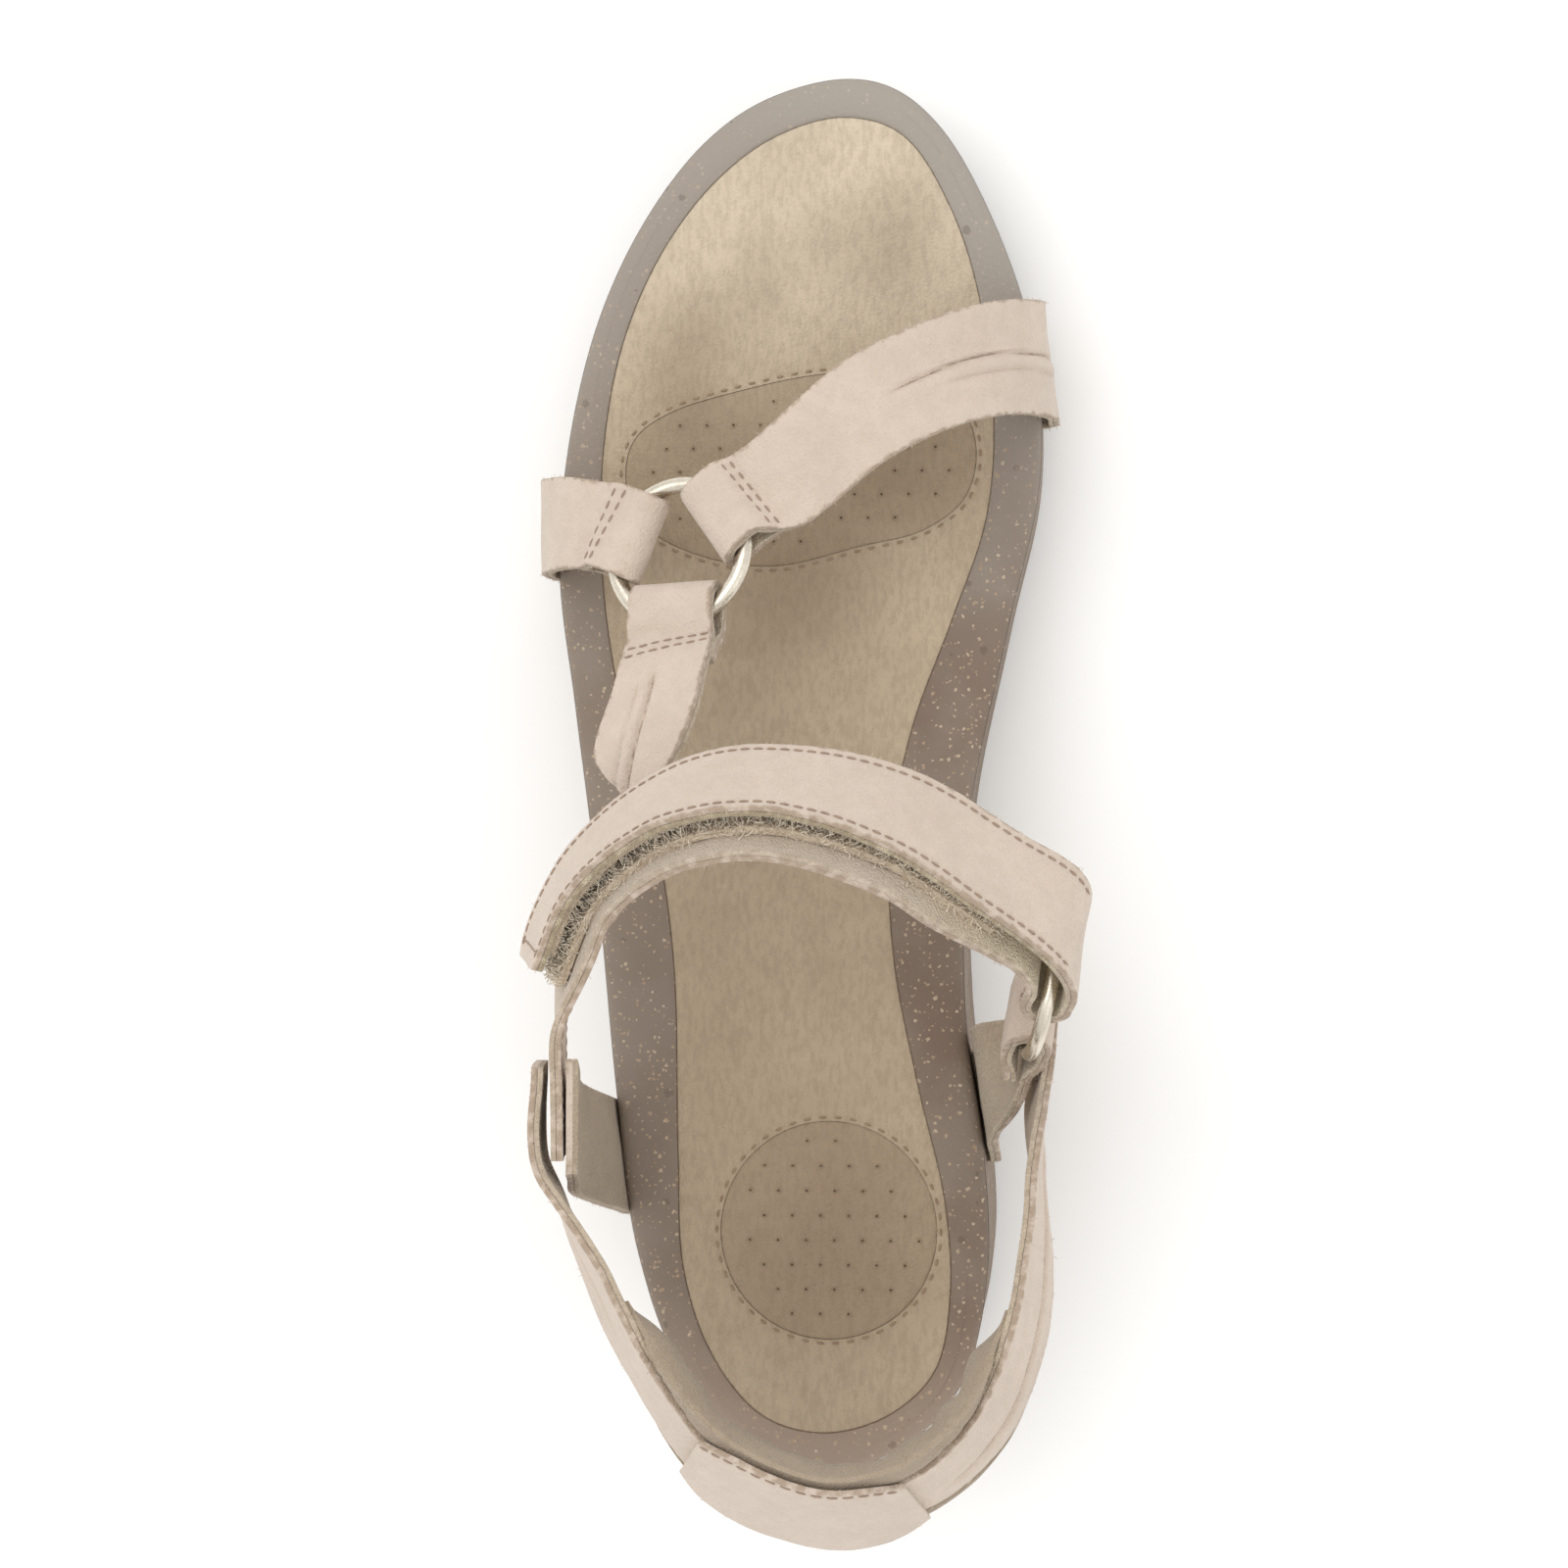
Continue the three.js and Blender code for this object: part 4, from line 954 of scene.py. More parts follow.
def looped(spine, spread, tail, head=1e9, tail_spine=None):
    """A strap that comes up one leg, turns round the wire and goes on along the other leg."""
    e = unit(spine.p[1] - spine.p[0])
    n = unit(np.cross(spine.a[0], e))
    radius = float(spread(np.zeros(1))[0])
    upper = cut(shifted(spine, lambda run: spread(run) * (1 - ease((run - tail) / 16))), 0, head)
    lower = shifted(cut(tail_spine or spine, 0, tail), lambda run: -spread(run))
    angles = np.radians(np.arange(-80, 81, 10))[:, None]
    turn = spine.p[0] - e * radius * np.cos(angles) + n * radius * np.sin(angles)
    across = np.repeat(spine.a[:1], len(turn), 0)
    return Run(
        np.vstack([lower.p[::-1], turn, upper.p]),
        np.vstack([lower.a[::-1], across, upper.a]),
        np.concatenate([lower.w[::-1], np.full(len(turn), spine.w[0]), upper.w]),
    )


def wall_x(side, y):
    """x of the sole's wall on one side."""
    row = outer.points[0 if side < 0 else 1]
    return float(np.interp(y, row[:, 1], row[:, 0]))


def anchor_rows(side, y, width, rake):
    """Knots that lead a strap down the wall, round the rim frame's lower corner and in under it."""
    lean = rake * FRAME_DEPTH
    start, stop = y - width / 2 + min(lean, 0), y + width / 2 + max(lean, 0)
    along = unit((wall_x(side, stop) - wall_x(side, start), stop - start))
    out = side * np.array([along[1], -along[0]])
    middle = np.array([(wall_x(side, start) + wall_x(side, stop)) / 2, (start + stop) / 2])
    stretch = np.linspace(start, stop, 9)
    wall = np.array([(wall_x(side, v), v) for v in stretch])
    middle = middle + out * max(0, ((wall - middle) @ out).max())
    middle = middle + np.array([-out[1], out[0]]) * (y - middle[1]) / out[0]
    slope = (split(stop) - split(start)) / (stop - start)
    corner = min(split(y), (split(stretch) - slope * (stretch - y)).min())
    across = (out[1], -out[0], -slope * out[0])

    def row(outwards_by, rise):
        x, y_at = middle + out * outwards_by
        z = corner + rise + min(outwards_by, 0) * slope * out[1]
        return ((x, y_at + max(rise, 0) * rake, z), across, width)

    rows = [row(SLOT_OFFSET, FRAME_DEPTH + 1), row(SLOT_OFFSET, 4), row(SLOT_OFFSET, 0)]
    for angle in (30, 60, 90):
        t = math.radians(angle)
        rows.append(row(SLOT_OFFSET * math.cos(t), -SLOT_OFFSET * math.sin(t)))
    return rows + [row(-ANCHOR_DEPTH, -SLOT_OFFSET)]


def point_on(run, along, across, level):
    """The point on a strap at a run, a distance to the right of its middle and a level over it."""
    at = lengths(run)
    right, out = unit(read(along, at, run.a)), unit(read(along, at, outward(run)))
    return read(along, at, run.p) + right * across + out * level


def sway(points):
    """The slow waves of worn leather at points of it."""
    values = [noise.noise(Vector(p) * 0.045) + 0.4 * noise.noise(Vector(p) * 0.14) for p in points]
    return np.array(values) * SWAY


def mark(mesh, name, values):
    """Writes a value for each point of a mesh, which its material or its fibres read."""
    attribute = mesh.attributes.new(name, "FLOAT", "POINT")
    attribute.data.foreach_set("value", np.asarray(values, np.float32).ravel())


def strap_mesh(name, run, low, high, relief=None, corner=0.28, column=0.9, ragged=0.14):
    """A layer of a strap between two levels, with softened raw edges. Relief gives the outer face's height
    over its level at a run and a distance across, both in millimetres. The mesh's edge attribute says how
    worn its raw edges are, and also carries painted shade where the outer face sinks into pleat creases and
    stitch channels."""
    at = lengths(run)
    n = outward(run)
    columns = max(6, round(run.w.max() / column))
    corner = min(corner, (high - low) * 0.35)
    flats = np.linspace(1, -1, columns)
    arc = np.radians((0, 30, 60))
    other_arc = np.radians((30, 60, 90))
    # each entry: side of the strap as a share of the flat's half width, offset from it, level
    loop = [(1, corner * math.cos(t), high - corner * (1 - math.sin(t))) for t in arc]
    loop += [(share, 0, high) for share in flats]
    loop += [(-1, -corner * math.sin(t), high - corner * (1 - math.cos(t))) for t in other_arc]
    loop += [(-1, -corner * math.cos(t), low + corner * (1 - math.sin(t))) for t in arc]
    loop += [(share, 0, low) for share in flats[::-1]]
    loop += [(1, corner * math.sin(t), low + corner * (1 - math.cos(t))) for t in other_arc]
    half = run.w / 2 - corner
    rough = np.array([[noise.noise(Vector((v * 0.35, s * 7, len(name)))) for s in (1, -1)] for v in at])
    points, marks, uv = [], [], []
    for share, offset, level in loop:
        side = 0 if share >= 0 else 1
        across = (half + ragged * rough[:, side]) * share + offset
        middle = run.p + run.a * across[:, None]
        lift = level + sway(middle)
        worn = np.clip(1 - (run.w / 2 - np.abs(across)) / 1.6, 0, 1)
        if relief is not None and level >= high - corner:
            raised = relief(at, across)
            lift = lift + raised
            # painted shade: the edge mark grows as the face sinks, so pleat creases and stitch channels take
            # the edge tone
            worn = np.maximum(worn, np.clip(-1.7 * raised - 0.2, 0, 1.1))
        points.append(middle + n * lift[:, None])
        marks.append(worn)
        uv.append(np.column_stack([across, at]))
    points = np.stack(points, 1).reshape(-1, 3)
    mesh = mesh_of(name, points, skin(len(at), len(loop), "capped"), weld=False)
    mark(mesh, "edge", np.stack(marks, 1))
    layout = mesh.uv_layers.new(name="UVMap")
    corners = np.zeros(len(mesh.loops), np.int32)
    mesh.loops.foreach_get("vertex_index", corners)
    flat_uv = np.stack(uv, 1).reshape(-1, 2)[corners] * MM
    layout.data.foreach_set("uv", flat_uv.astype(np.float32).ravel())
    return mesh


def point_path(run, marks, level):
    """A line laid on a strap through (run, across) marks, a level over its middle surface."""
    marks = np.array(marks, float)
    reach = np.concatenate([[0], np.cumsum(np.linalg.norm(np.diff(marks, axis=0), axis=1))])
    path = []
    for d in np.linspace(0, reach[-1], max(2, int(reach[-1] / 0.8))):
        along, across = (np.interp(d, reach, marks[:, k]) for k in (0, 1))
        base = point_on(run, along, across, 0)
        path.append(point_on(run, along, across, level + float(sway([base])[0])))
    return path


def cross_row(run, along, inset=2.0, slant=0.0):
    """Marks of a row of stitches straight across a strap."""
    half = float(np.interp(along, lengths(run), run.w)) / 2 - inset
    return [(along + slant * half, half), (along - slant * half, -half)]


def edge_row(run, side, start, stop, inset):
    """Marks of a row of stitches along one edge of a strap."""
    at = np.arange(start, stop, 2.0)
    return [(v, side * (float(np.interp(v, lengths(run), run.w)) / 2 - inset)) for v in at]


def relief_of(pleats=(), rows=(), puckers=()):
    """The outer face's relief: pleats as (marks, depth), each a crease with a fold beside it, channels that
    rows of stitches sink into, and puckers across the strap as (run, depth, breadth)."""

    def relief(at, across):
        height = np.zeros_like(at)
        for marks, depth in pleats:
            marks = np.array(sorted(marks), float)
            middle = np.interp(at, marks[:, 0], marks[:, 1])
            fade = ease((at - marks[0, 0]) / 7) * ease((marks[-1, 0] - at) / 7)
            off = across - middle
            crease = 1.5 * np.exp(-((off / 0.42) ** 2))
            fold = 0.9 * np.exp(-(((off - 1.9) / 1.7) ** 2))
            height += depth * fade * (fold - crease)
        for marks in rows:
            marks = np.array(marks, float)
            if abs(marks[-1, 0] - marks[0, 0]) < 6:
                off = at - np.interp(across, *marks[np.argsort(marks[:, 1])].T[::-1])
                inside = np.abs(across) < np.abs(marks[:, 1]).max() + 0.8
            else:
                off = across - np.interp(at, marks[:, 0], marks[:, 1])
                inside = (at > marks[0, 0] - 1) & (at < marks[-1, 0] + 1)
            height -= 0.22 * inside * np.exp(-((off / 0.65) ** 2))
        for along, depth, breadth in puckers:
            height += depth * np.exp(-(((at - along) / breadth) ** 2))
        return height

    return relief


TONE_CHANGE = (0.1, 0.15)  # metres along a strap, where its start tone gives way to its own

# rubbed raw edges, read from the edge mark, which also carries painted shade in pleat creases and stitch
# channels
rubbed_edge_and_shade_group, given, result = shader_group(
    "rubbed_edge_and_crease_shade",
    {"Breaks per metre": (FLOAT, 500.0), "Reach": (FLOAT, 0.5)},
    {"Mask": FLOAT},
)
edge_wear_and_crease_shade = node(rubbed_edge_and_shade_group, "ShaderNodeAttribute", attribute_name="edge").outputs["Fac"]
breaks = {"Vector": object_place(rubbed_edge_and_shade_group), "Scale": given["Breaks per metre"], "Detail": 4.0}
breaks = node(rubbed_edge_and_shade_group, "ShaderNodeTexNoise", breaks).outputs["Fac"]
broken = maths(rubbed_edge_and_shade_group, "ADD", edge_wear_and_crease_shade, ramp(rubbed_edge_and_shade_group, breaks, 0.25, 0.75, -0.3, 0.3))
start = maths(rubbed_edge_and_shade_group, "SUBTRACT", 1.0, given["Reach"])
rubbed_edge_and_shade_group.links.new(ramp(rubbed_edge_and_shade_group, broken, start, 1.15), result.inputs["Mask"])


def nubuck(name, tone, other, edge_tone, nap=0.5, start_tone=None):
    """Buffed leather: a fine velvety nap, soft cloudy colour, raw edges that show the hide, and painted
    shade in pleat creases and stitch channels, which the edge mark also carries. A start tone colours a
    strap's first stretch instead."""
    material, tree, shader = finish_of(name, roughness=0.85, Sheen_Weight=0.25, Sheen_Roughness=0.45)
    if start_tone:
        place = node(tree, "ShaderNodeTexCoord").outputs["UV"]
        along = node(tree, "ShaderNodeSeparateXYZ", {0: place}).outputs["Y"]
        tone = mix(tree, ramp(tree, along, *TONE_CHANGE), start_tone, tone)
    cloudy = use(tree, uneven, Colour=tone, Other_colour=other, Patches_per_metre=55.0, Amount=0.5)
    brushed = {"Other_colour": edge_tone, "Patches_per_metre": 260.0, "Amount": 0.12}
    colour = use(tree, uneven, Colour=cloudy.outputs[0], **brushed).outputs[0]
    pores = use(tree, grain, Grains_per_metre=2100.0)
    colour = mix(tree, maths(tree, "MULTIPLY", pores.outputs["Pits"], 0.22), colour, edge_tone)
    # the edge tone at rubbed raw edges, and as painted shade in pleat creases and stitch channels
    rub_mask_and_crease_shade = use(tree, rubbed_edge_and_shade_group, Breaks_per_metre=520.0, Reach=0.42).outputs["Mask"]
    tree.links.new(mix(tree, rub_mask_and_crease_shade, colour, edge_tone), shader.inputs["Base Color"])
    wrinkle = {"Vector": object_place(tree), "Scale": 190.0, "Detail": 5.0, "Roughness": 0.62}
    wrinkle = node(tree, "ShaderNodeTexNoise", {**wrinkle, "Distortion": 0.6}).outputs["Fac"]
    wrinkle = maths(tree, "MULTIPLY", wrinkle, 2.2)
    bump(tree, shader, maths(tree, "ADD", wrinkle, pores.outputs["Height"]), nap, 0.0005)
    return material


strap_nubuck = nubuck("strap_nubuck", shade(206, 190, 175), shade(196, 180, 165), shade(166, 147, 128))
# partly painted shade: this greyish-brown suede lining has the darker tone it shows in shadow, below the
# paler fold and flap linings
suede_lining_with_painted_shade = nubuck(
    "suede_lining_with_painted_shade", shade(180, 163, 141), shade(160, 142, 121), shade(196, 180, 158), nap=0.9
)
raw_hide = two_tone("raw_hide", shade(214, 198, 178), shade(178, 158, 136), 500.0, roughness=0.95)

# loose fibres: short bent hairs that stand on a surface wherever its "hairy" attribute says
fibres, given, result = geometry_tree(
    "fibres",
    {
        "Per square metre": (LENGTH, 1e6),
        "Fibre length": (LENGTH, 0.001),
        "Fibre width": (LENGTH, 0.00012),
        "Lean": (LENGTH, 0.9),
        "Seed": (INTEGER, 1),
        "Fibre finish": (MATERIAL, None),
    },
)
where = step(fibres, "GeometryNodeInputNamedAttribute", {"Name": "hairy"}, data_type="FLOAT")
density = maths(fibres, "MULTIPLY", where, given["Per square metre"])
scattered = {"Mesh": given["Geometry"], "Density": density, "Seed": given["Seed"]}
scattered = node(fibres, "GeometryNodeDistributePointsOnFaces", scattered, distribute_method="RANDOM")
STRAND_RADIUS = 0.08  # of a hair that is one unit long
bow = {"Resolution": 3, "Start": (0, 0, 0), "Middle": (0.1, 0, 0.55), "End": (0.6, 0.15, 0.9)}
bow = step(fibres, "GeometryNodeCurveQuadraticBezier", bow)
strand = step(fibres, "GeometryNodeCurvePrimitiveCircle", {"Resolution": 3, "Radius": STRAND_RADIUS})
hair = step(fibres, "GeometryNodeCurveToMesh", {"Curve": bow, "Profile Curve": strand})
lean_back = maths(fibres, "MULTIPLY", given["Lean"], -1.0)
least = step(fibres, "ShaderNodeCombineXYZ", {"X": lean_back, "Y": lean_back, "Z": 0.0})
most = step(fibres, "ShaderNodeCombineXYZ", {"X": given["Lean"], "Y": given["Lean"], "Z": 6.283})
tilt = {0: least, 1: most, "Seed": given["Seed"]}
tilt = step(fibres, "FunctionNodeRandomValue", tilt, data_type="FLOAT_VECTOR")
tilt = step(fibres, "FunctionNodeEulerToRotation", {0: tilt})
standing = {"Rotation": scattered.outputs["Rotation"], "Rotate By": tilt}
standing = step(fibres, "FunctionNodeRotateRotation", standing, rotation_space="LOCAL")
size = node(fibres, "FunctionNodeRandomValue", {2: 0.45, 3: 1.0, "Seed": given["Seed"]}, data_type="FLOAT")
tall = maths(fibres, "MULTIPLY", size.outputs[1], given["Fibre length"])
wide = maths(fibres, "MULTIPLY", given["Fibre width"], 0.5 / STRAND_RADIUS)
size = step(fibres, "ShaderNodeCombineXYZ", {"X": tall, "Y": wide, "Z": tall})
planted = {"Points": scattered.outputs["Points"], "Instance": hair, "Rotation": standing, "Scale": size}
planted = step(fibres, "GeometryNodeInstanceOnPoints", planted)
real = step(fibres, "GeometryNodeRealizeInstances", {0: planted})
real = step(fibres, "GeometryNodeSetMaterial", {0: real, "Material": given["Fibre finish"]})
fibres.links.new(real, result.inputs[0])


def fuzz(name, mesh, per_mm2, length, body, slot_name, material, width=0.1, lean=1.0, seed=1, where=None):
    """Loose fibres on a mesh. Where is a share from 0 to 1 for each point; without it, the raw edges."""
    source = mesh.copy()
    if where is None:
        where = np.zeros(len(source.vertices), np.float32)
        source.attributes["edge"].data.foreach_get("value", where)
        where = np.clip((where - 0.8) * 5, 0, 1)
    mark(source, "hairy", where)
    made = grown(
        name,
        source,
        fibres,
        Per_square_metre=per_mm2 * 1e6,
        Fibre_length=length * MM,
        Fibre_width=width * MM,
        Lean=lean,
        Seed=seed,
        Fibre_finish=material,
    )
    return add_piece(name, made, material, body)


def strap(name, run, body=SOLE_BODY, relief=None, seams=(), lining=suede_lining_with_painted_shade, frayed=0.55):
    """A lined strap: its leather, its lining, its sewing and the fibres on its raw edges."""
    made = []
    leather = strap_mesh(name + "_leather", run, STRAP / 2 - LEATHER, STRAP / 2, relief, column=0.5)
    made.append(add_piece(name + "_leather", leather, strap_nubuck, body, [name]))
    back = strap_mesh(name + "_suede", run, -STRAP / 2, STRAP / 2 - LEATHER - HAIRLINE, corner=0.15)
    made.append(add_piece(name + "_suede", back, lining, body, [name + "_lining"]))
    if seams:
        paths = [point_path(run, marks, STRAP / 2 - SEWING_DEPTH) for marks in seams]
        made.append(sewn(name + "_stitching", paths, upper_thread, body, STRAP_STITCH))
    made.append(fuzz(name + "_fray", leather, frayed, 0.75, body, "strap_leather", raw_hide, seed=len(name)))
    return made


def ring_strap(heading, tail, rows):
    """A strap that leaves the large ring along a heading and goes on through the knots."""
    spine = through(ring_rows(FOREFOOT_RING, heading, RING_LOOP_WIDTH) + rows)
    return looped(spine, leg_spread(FOREFOOT_RING, RING_LOOP_WIDTH), tail)


toe_run = ring_strap(
    (0.81, 0.58, 0),
    TOE_TAIL,
    [
        ((-4.5, 53, 63.6), (0.56, -0.83, 0), (RING_LOOP_WIDTH + TOE_STRAP_WIDTH) / 2 - 1),
        ((11.7, 66.3, 65), (0.42, -0.9, 0.06), TOE_STRAP_WIDTH - 2),
        ((25.5, 73.6, 61), (0.2, -0.97, 0.1), TOE_STRAP_WIDTH - 1),
        ((36.5, 77.6, 52), (0.04, -0.99, 0.1), TOE_STRAP_WIDTH),
        ((44, 79, 40.5), (0, -1, 0), TOE_STRAP_WIDTH),
        *anchor_rows(1, 79, TOE_STRAP_WIDTH, 0),
    ],
)
tab_run = ring_strap(
    (-0.93, 0.37, 0),
    TAB_TAIL,
    [
        ((-45.8, 46.2, 51.5), (0.1, 0.99, 0), TAB_WIDTH - 0.6),
        ((-52.2, 46.6, 42), (0, 1, 0), TAB_WIDTH),
        *anchor_rows(-1, 46.5, TAB_WIDTH, 0),
    ],
)
TOE_TURN = TOE_TAIL + RING_TURN  # where the upper leg starts
toe_seams = [cross_row(toe_run, TOE_TURN + d, 2, 0.1) for d in (4.8, 6.9)]
tab_seams = [cross_row(tab_run, TAB_TAIL + RING_TURN + d, 2, -0.1) for d in (2.2, 4.1)]
toe_pleat = [(TOE_TURN + 36, -0.5), (TOE_TURN + 48, -0.6), (TOE_TURN + 58, -1.0), (TOE_TURN + 92, 0)]
toe_fold = [(TOE_TURN + 46, 2.6), (TOE_TURN + 66, 2.4), (TOE_TURN + 90, 3.2)]
strap(
    "toe_strap",
    toe_run,
    relief=relief_of([(toe_pleat, 0.6), (toe_fold, 0.34)], toe_seams, [(TOE_TURN + 2, 0.15, 2.5)]),
    seams=toe_seams,
)
strap("lateral_tab", tab_run, relief=relief_of(rows=tab_seams), seams=tab_seams)

# ------------------------------------------------------------------ instep strap and closure
# One long strap runs from the outer seam over the instep, round the small ring at the inner ankle and
# back over itself. Its free end closes with hook tape on pile tape, sewn on all round.
INSTEP_WIDTH = 21.5
INSTEP_LOOP_WIDTH = 18
TAPE_WIDTH = 17
HOOK_TAPE = 1.0
PILE_TAPE = 1.3
HINGE_RUN = 14
FLAP_SHARE = 0.8
FOLD_SPREAD = MEDIAL_RING.wire + WIRE_CLEARANCE + STRAP / 2 + 0.6
FOLD_HEADING = np.array([0.2, 0.54, 0.81])
SEAM_UP = unit((0.1, 0, 0.995))
SEAM_FORWARD = np.array([0, 1, 0])
SEAM_OUT = -np.cross(SEAM_FORWARD, SEAM_UP)
SEAM_CENTRE = np.array([-43, -64, 91])


def seam_row(forward, out, width):
    return (SEAM_CENTRE + SEAM_FORWARD * forward + SEAM_OUT * out, -SEAM_UP, width)


instep_spine = through(
    [
        *ring_rows(MEDIAL_RING, FOLD_HEADING, INSTEP_LOOP_WIDTH),
        ((47.4, -30.2, 97.4), (0.24, 0.74, -0.62), INSTEP_WIDTH - 1),
        ((35.2, -21.6, 103.5), (0.32, 0.58, -0.75), INSTEP_WIDTH),
        ((19.5, -12.2, 108.5), (0, 0.68, -0.73), INSTEP_WIDTH),
        ((-1, -7.2, 111), (0, 0.53, -0.85), INSTEP_WIDTH),
        ((-16.3, -8.8, 108), (0, 0.5, -0.87), INSTEP_WIDTH),
        ((-28.6, -15, 101.5), (-0.13, 0.38, -0.91), INSTEP_WIDTH),
        ((-38, -24, 95), (-0.21, 0.25, -0.94), INSTEP_WIDTH),
        ((-43.8, -36, 91.5), (-0.28, 0.1, -0.95), INSTEP_WIDTH),
        seam_row(14, FOLD_SPREAD, INSTEP_WIDTH - 1),
        seam_row(3, FOLD_SPREAD, INSTEP_WIDTH - 2),
        seam_row(-9, FOLD_SPREAD, INSTEP_WIDTH - 2),
    ]
)
spine_run = lengths(instep_spine)[-1]
upper_leg = shifted(instep_spine, FOLD_SPREAD)


def swell(run):
    """The lower leg is a little wider than the flap, except near the ring and the seam."""
    return ease((run - 12) / 25) * ease((spine_run - 18 - run) / 20)


lower_leg = shifted(instep_spine, side=lambda run: -1.6 * swell(run), wider=lambda run: 2.6 * swell(run))
fold_run = looped(instep_spine, lambda run: np.full_like(run, FOLD_SPREAD), 1e9, HINGE_RUN, lower_leg)
flap_run = cut(upper_leg, HINGE_RUN, FLAP_SHARE * lengths(upper_leg)[-1])
flap_length = lengths(flap_run)[-1]
fold_length = lengths(fold_run)[-1]

aged_lining = nubuck(
    "aged_lining", shade(212, 198, 170), shade(184, 167, 138), shade(166, 149, 122), nap=1.0
)
fold_lining = nubuck(
    "fold_lining",
    shade(214, 200, 173),
    shade(200, 184, 162),
    shade(182, 165, 144),
    nap=0.8,
    start_tone=shade(212, 196, 180),
)
fold_seams = [edge_row(fold_run, side, 6, fold_length - 14.5, 1.7) for side in (-1, 1)]
flap_seams = [edge_row(flap_run, side, -0.5, flap_length - 3, 1.8) for side in (-1, 1)]
flap_seams.append(cross_row(flap_run, flap_length - 3.2, 1.8))
strap("instep_strap", fold_run, relief=relief_of(rows=fold_seams), seams=fold_seams, lining=fold_lining)
flap_pieces = strap(
    "closure_flap", flap_run, None, relief_of(rows=flap_seams), flap_seams, aged_lining, frayed=0.9
)

hook_and_pile = two_tone(
    "hook_and_pile", shade(208, 192, 170), shade(180, 163, 141), 380.0, (1300.0, 0.9, 0.0006), roughness=1.0
)
pile_fibre = two_tone("pile_fibre", shade(243, 233, 216), shade(202, 185, 163), 900.0, roughness=0.85)


def tape(name, run, low, high, body, stands_for, length, face, seed):
    """A woven tape with hooks or pile on one face, hairy at its edges too."""
    band = Run(run.p, run.a, np.full(len(run.w), float(TAPE_WIDTH)))
    mesh = strap_mesh(name + "_band", band, low, high, corner=0.2, ragged=0.3)
    base = add_piece(name + "_band", mesh, hook_and_pile, body, [stands_for])
    count = len(mesh.vertices) // len(band.w)
    way = np.repeat(outward(band) * face, count, 0)
    facing = (np.array([v.normal for v in mesh.vertices]) * way).sum(1)
    hairy = (0.35 + 0.65 * np.clip(facing, 0, 1)) * (facing > -0.5)
    hair = (name + "_fibres", mesh, 3.2, length, body, "hook_and_pile", pile_fibre)
    return [base, fuzz(*hair, width=0.12, lean=1.1, seed=seed, where=hairy)]


hook_run = cut(flap_run, 15, flap_length - 3.5)
hook_levels = (-STRAP / 2 - GAP - HOOK_TAPE, -STRAP / 2 - HAIRLINE)
closure_soft = flap_pieces + tape("hook_tape", hook_run, *hook_levels, None, "hook_tape", 1.3, -1, 5)
pile_run = shifted(cut(instep_spine, HINGE_RUN + 8, FLAP_SHARE * spine_run), -FOLD_SPREAD)
pile_levels = (STRAP / 2 + HAIRLINE, STRAP / 2 + GAP + PILE_TAPE)
tape("pile_tape", pile_run, *pile_levels, SOLE_BODY, "pile_tape", 2.0, 1, 6)

# the free end's pieces, which start just past the fold where the closure's hinge lies, have their placing
# baked into their meshes
for soft_piece in closure_soft:
    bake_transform(soft_piece)

# ------------------------------------------------------------------ connector strap
# It goes back from the large ring along the outside of the foot, and its end is sewn in under the
# instep strap.
UNDER_INSTEP = FOLD_SPREAD + STRAP + 1.4
TUCK_RUN = 107.4  # where it ends, along the instep strap
tuck = point_on(instep_spine, TUCK_RUN, 0, 0)
tuck_across = point_on(instep_spine, TUCK_RUN, 1, 0) - tuck
tuck_out = point_on(instep_spine, TUCK_RUN, 0, 1) - tuck


def tuck_row(to_front, width):
    return (tuck + tuck_across * to_front - tuck_out * UNDER_INSTEP, np.cross(tuck_across, tuck_out), width)


connector_run = ring_strap(
    (0.05, -0.99, 0),
    CONNECTOR_TAIL,
    [
        ((-26.2, 15, 71.5), (-0.93, -0.12, -0.34), CONNECTOR_WIDTH - 1.5),
        ((-29.4, 2, 79.5), (-0.87, -0.2, -0.45), CONNECTOR_WIDTH),
        tuck_row(INSTEP_WIDTH / 2 + 1.5, CONNECTOR_WIDTH),
        tuck_row(0, CONNECTOR_WIDTH),
    ],
)
CONNECTOR_TURN = CONNECTOR_TAIL + RING_TURN
connector_seams = [cross_row(connector_run, CONNECTOR_TURN + d, 1.5, 0.2) for d in (8.2, 10.1)]
connector_length = lengths(connector_run)[-1]
connector_pleat = [(CONNECTOR_TURN + 13, 0.9), (CONNECTOR_TURN + 30, 0.6), (connector_length - 12, 2.2)]
connector_fold = [(CONNECTOR_TURN + 15, 3.4), (CONNECTOR_TURN + 34, 3.8), (connector_length - 12, 4.4)]
strap(
    "connector_strap",
    connector_run,
    relief=relief_of([(connector_pleat, 0.65), (connector_fold, 0.4)], connector_seams),
    seams=connector_seams,
)

# ------------------------------------------------------------------ quarters
# Two short straps rise from the sole beside the ankle. The inner one is looped round the small ring and
# sewn to itself; the outer one lies inside the ends of the instep and heel straps.
QUARTER_WIDTH = 22
QUARTER_LOOP_WIDTH = 16
MEDIAL_TAIL = 9
MEDIAL_TURN = MEDIAL_TAIL + 12
SEAM_PLAY = 1.3
medial_rows = [
    *ring_rows(MEDIAL_RING, -FOLD_HEADING, QUARTER_LOOP_WIDTH),
    ((39.6, -57.5, 64.5), (-0.05, -0.9, 0.4), QUARTER_WIDTH - 3),
    *anchor_rows(1, -67.5, QUARTER_WIDTH, 0.42),
]
medial_run = looped(through(medial_rows), leg_spread(MEDIAL_RING, QUARTER_LOOP_WIDTH), MEDIAL_TAIL)
medial_seams = [cross_row(medial_run, MEDIAL_TURN + d, 2.2) for d in (9, 11.2)]
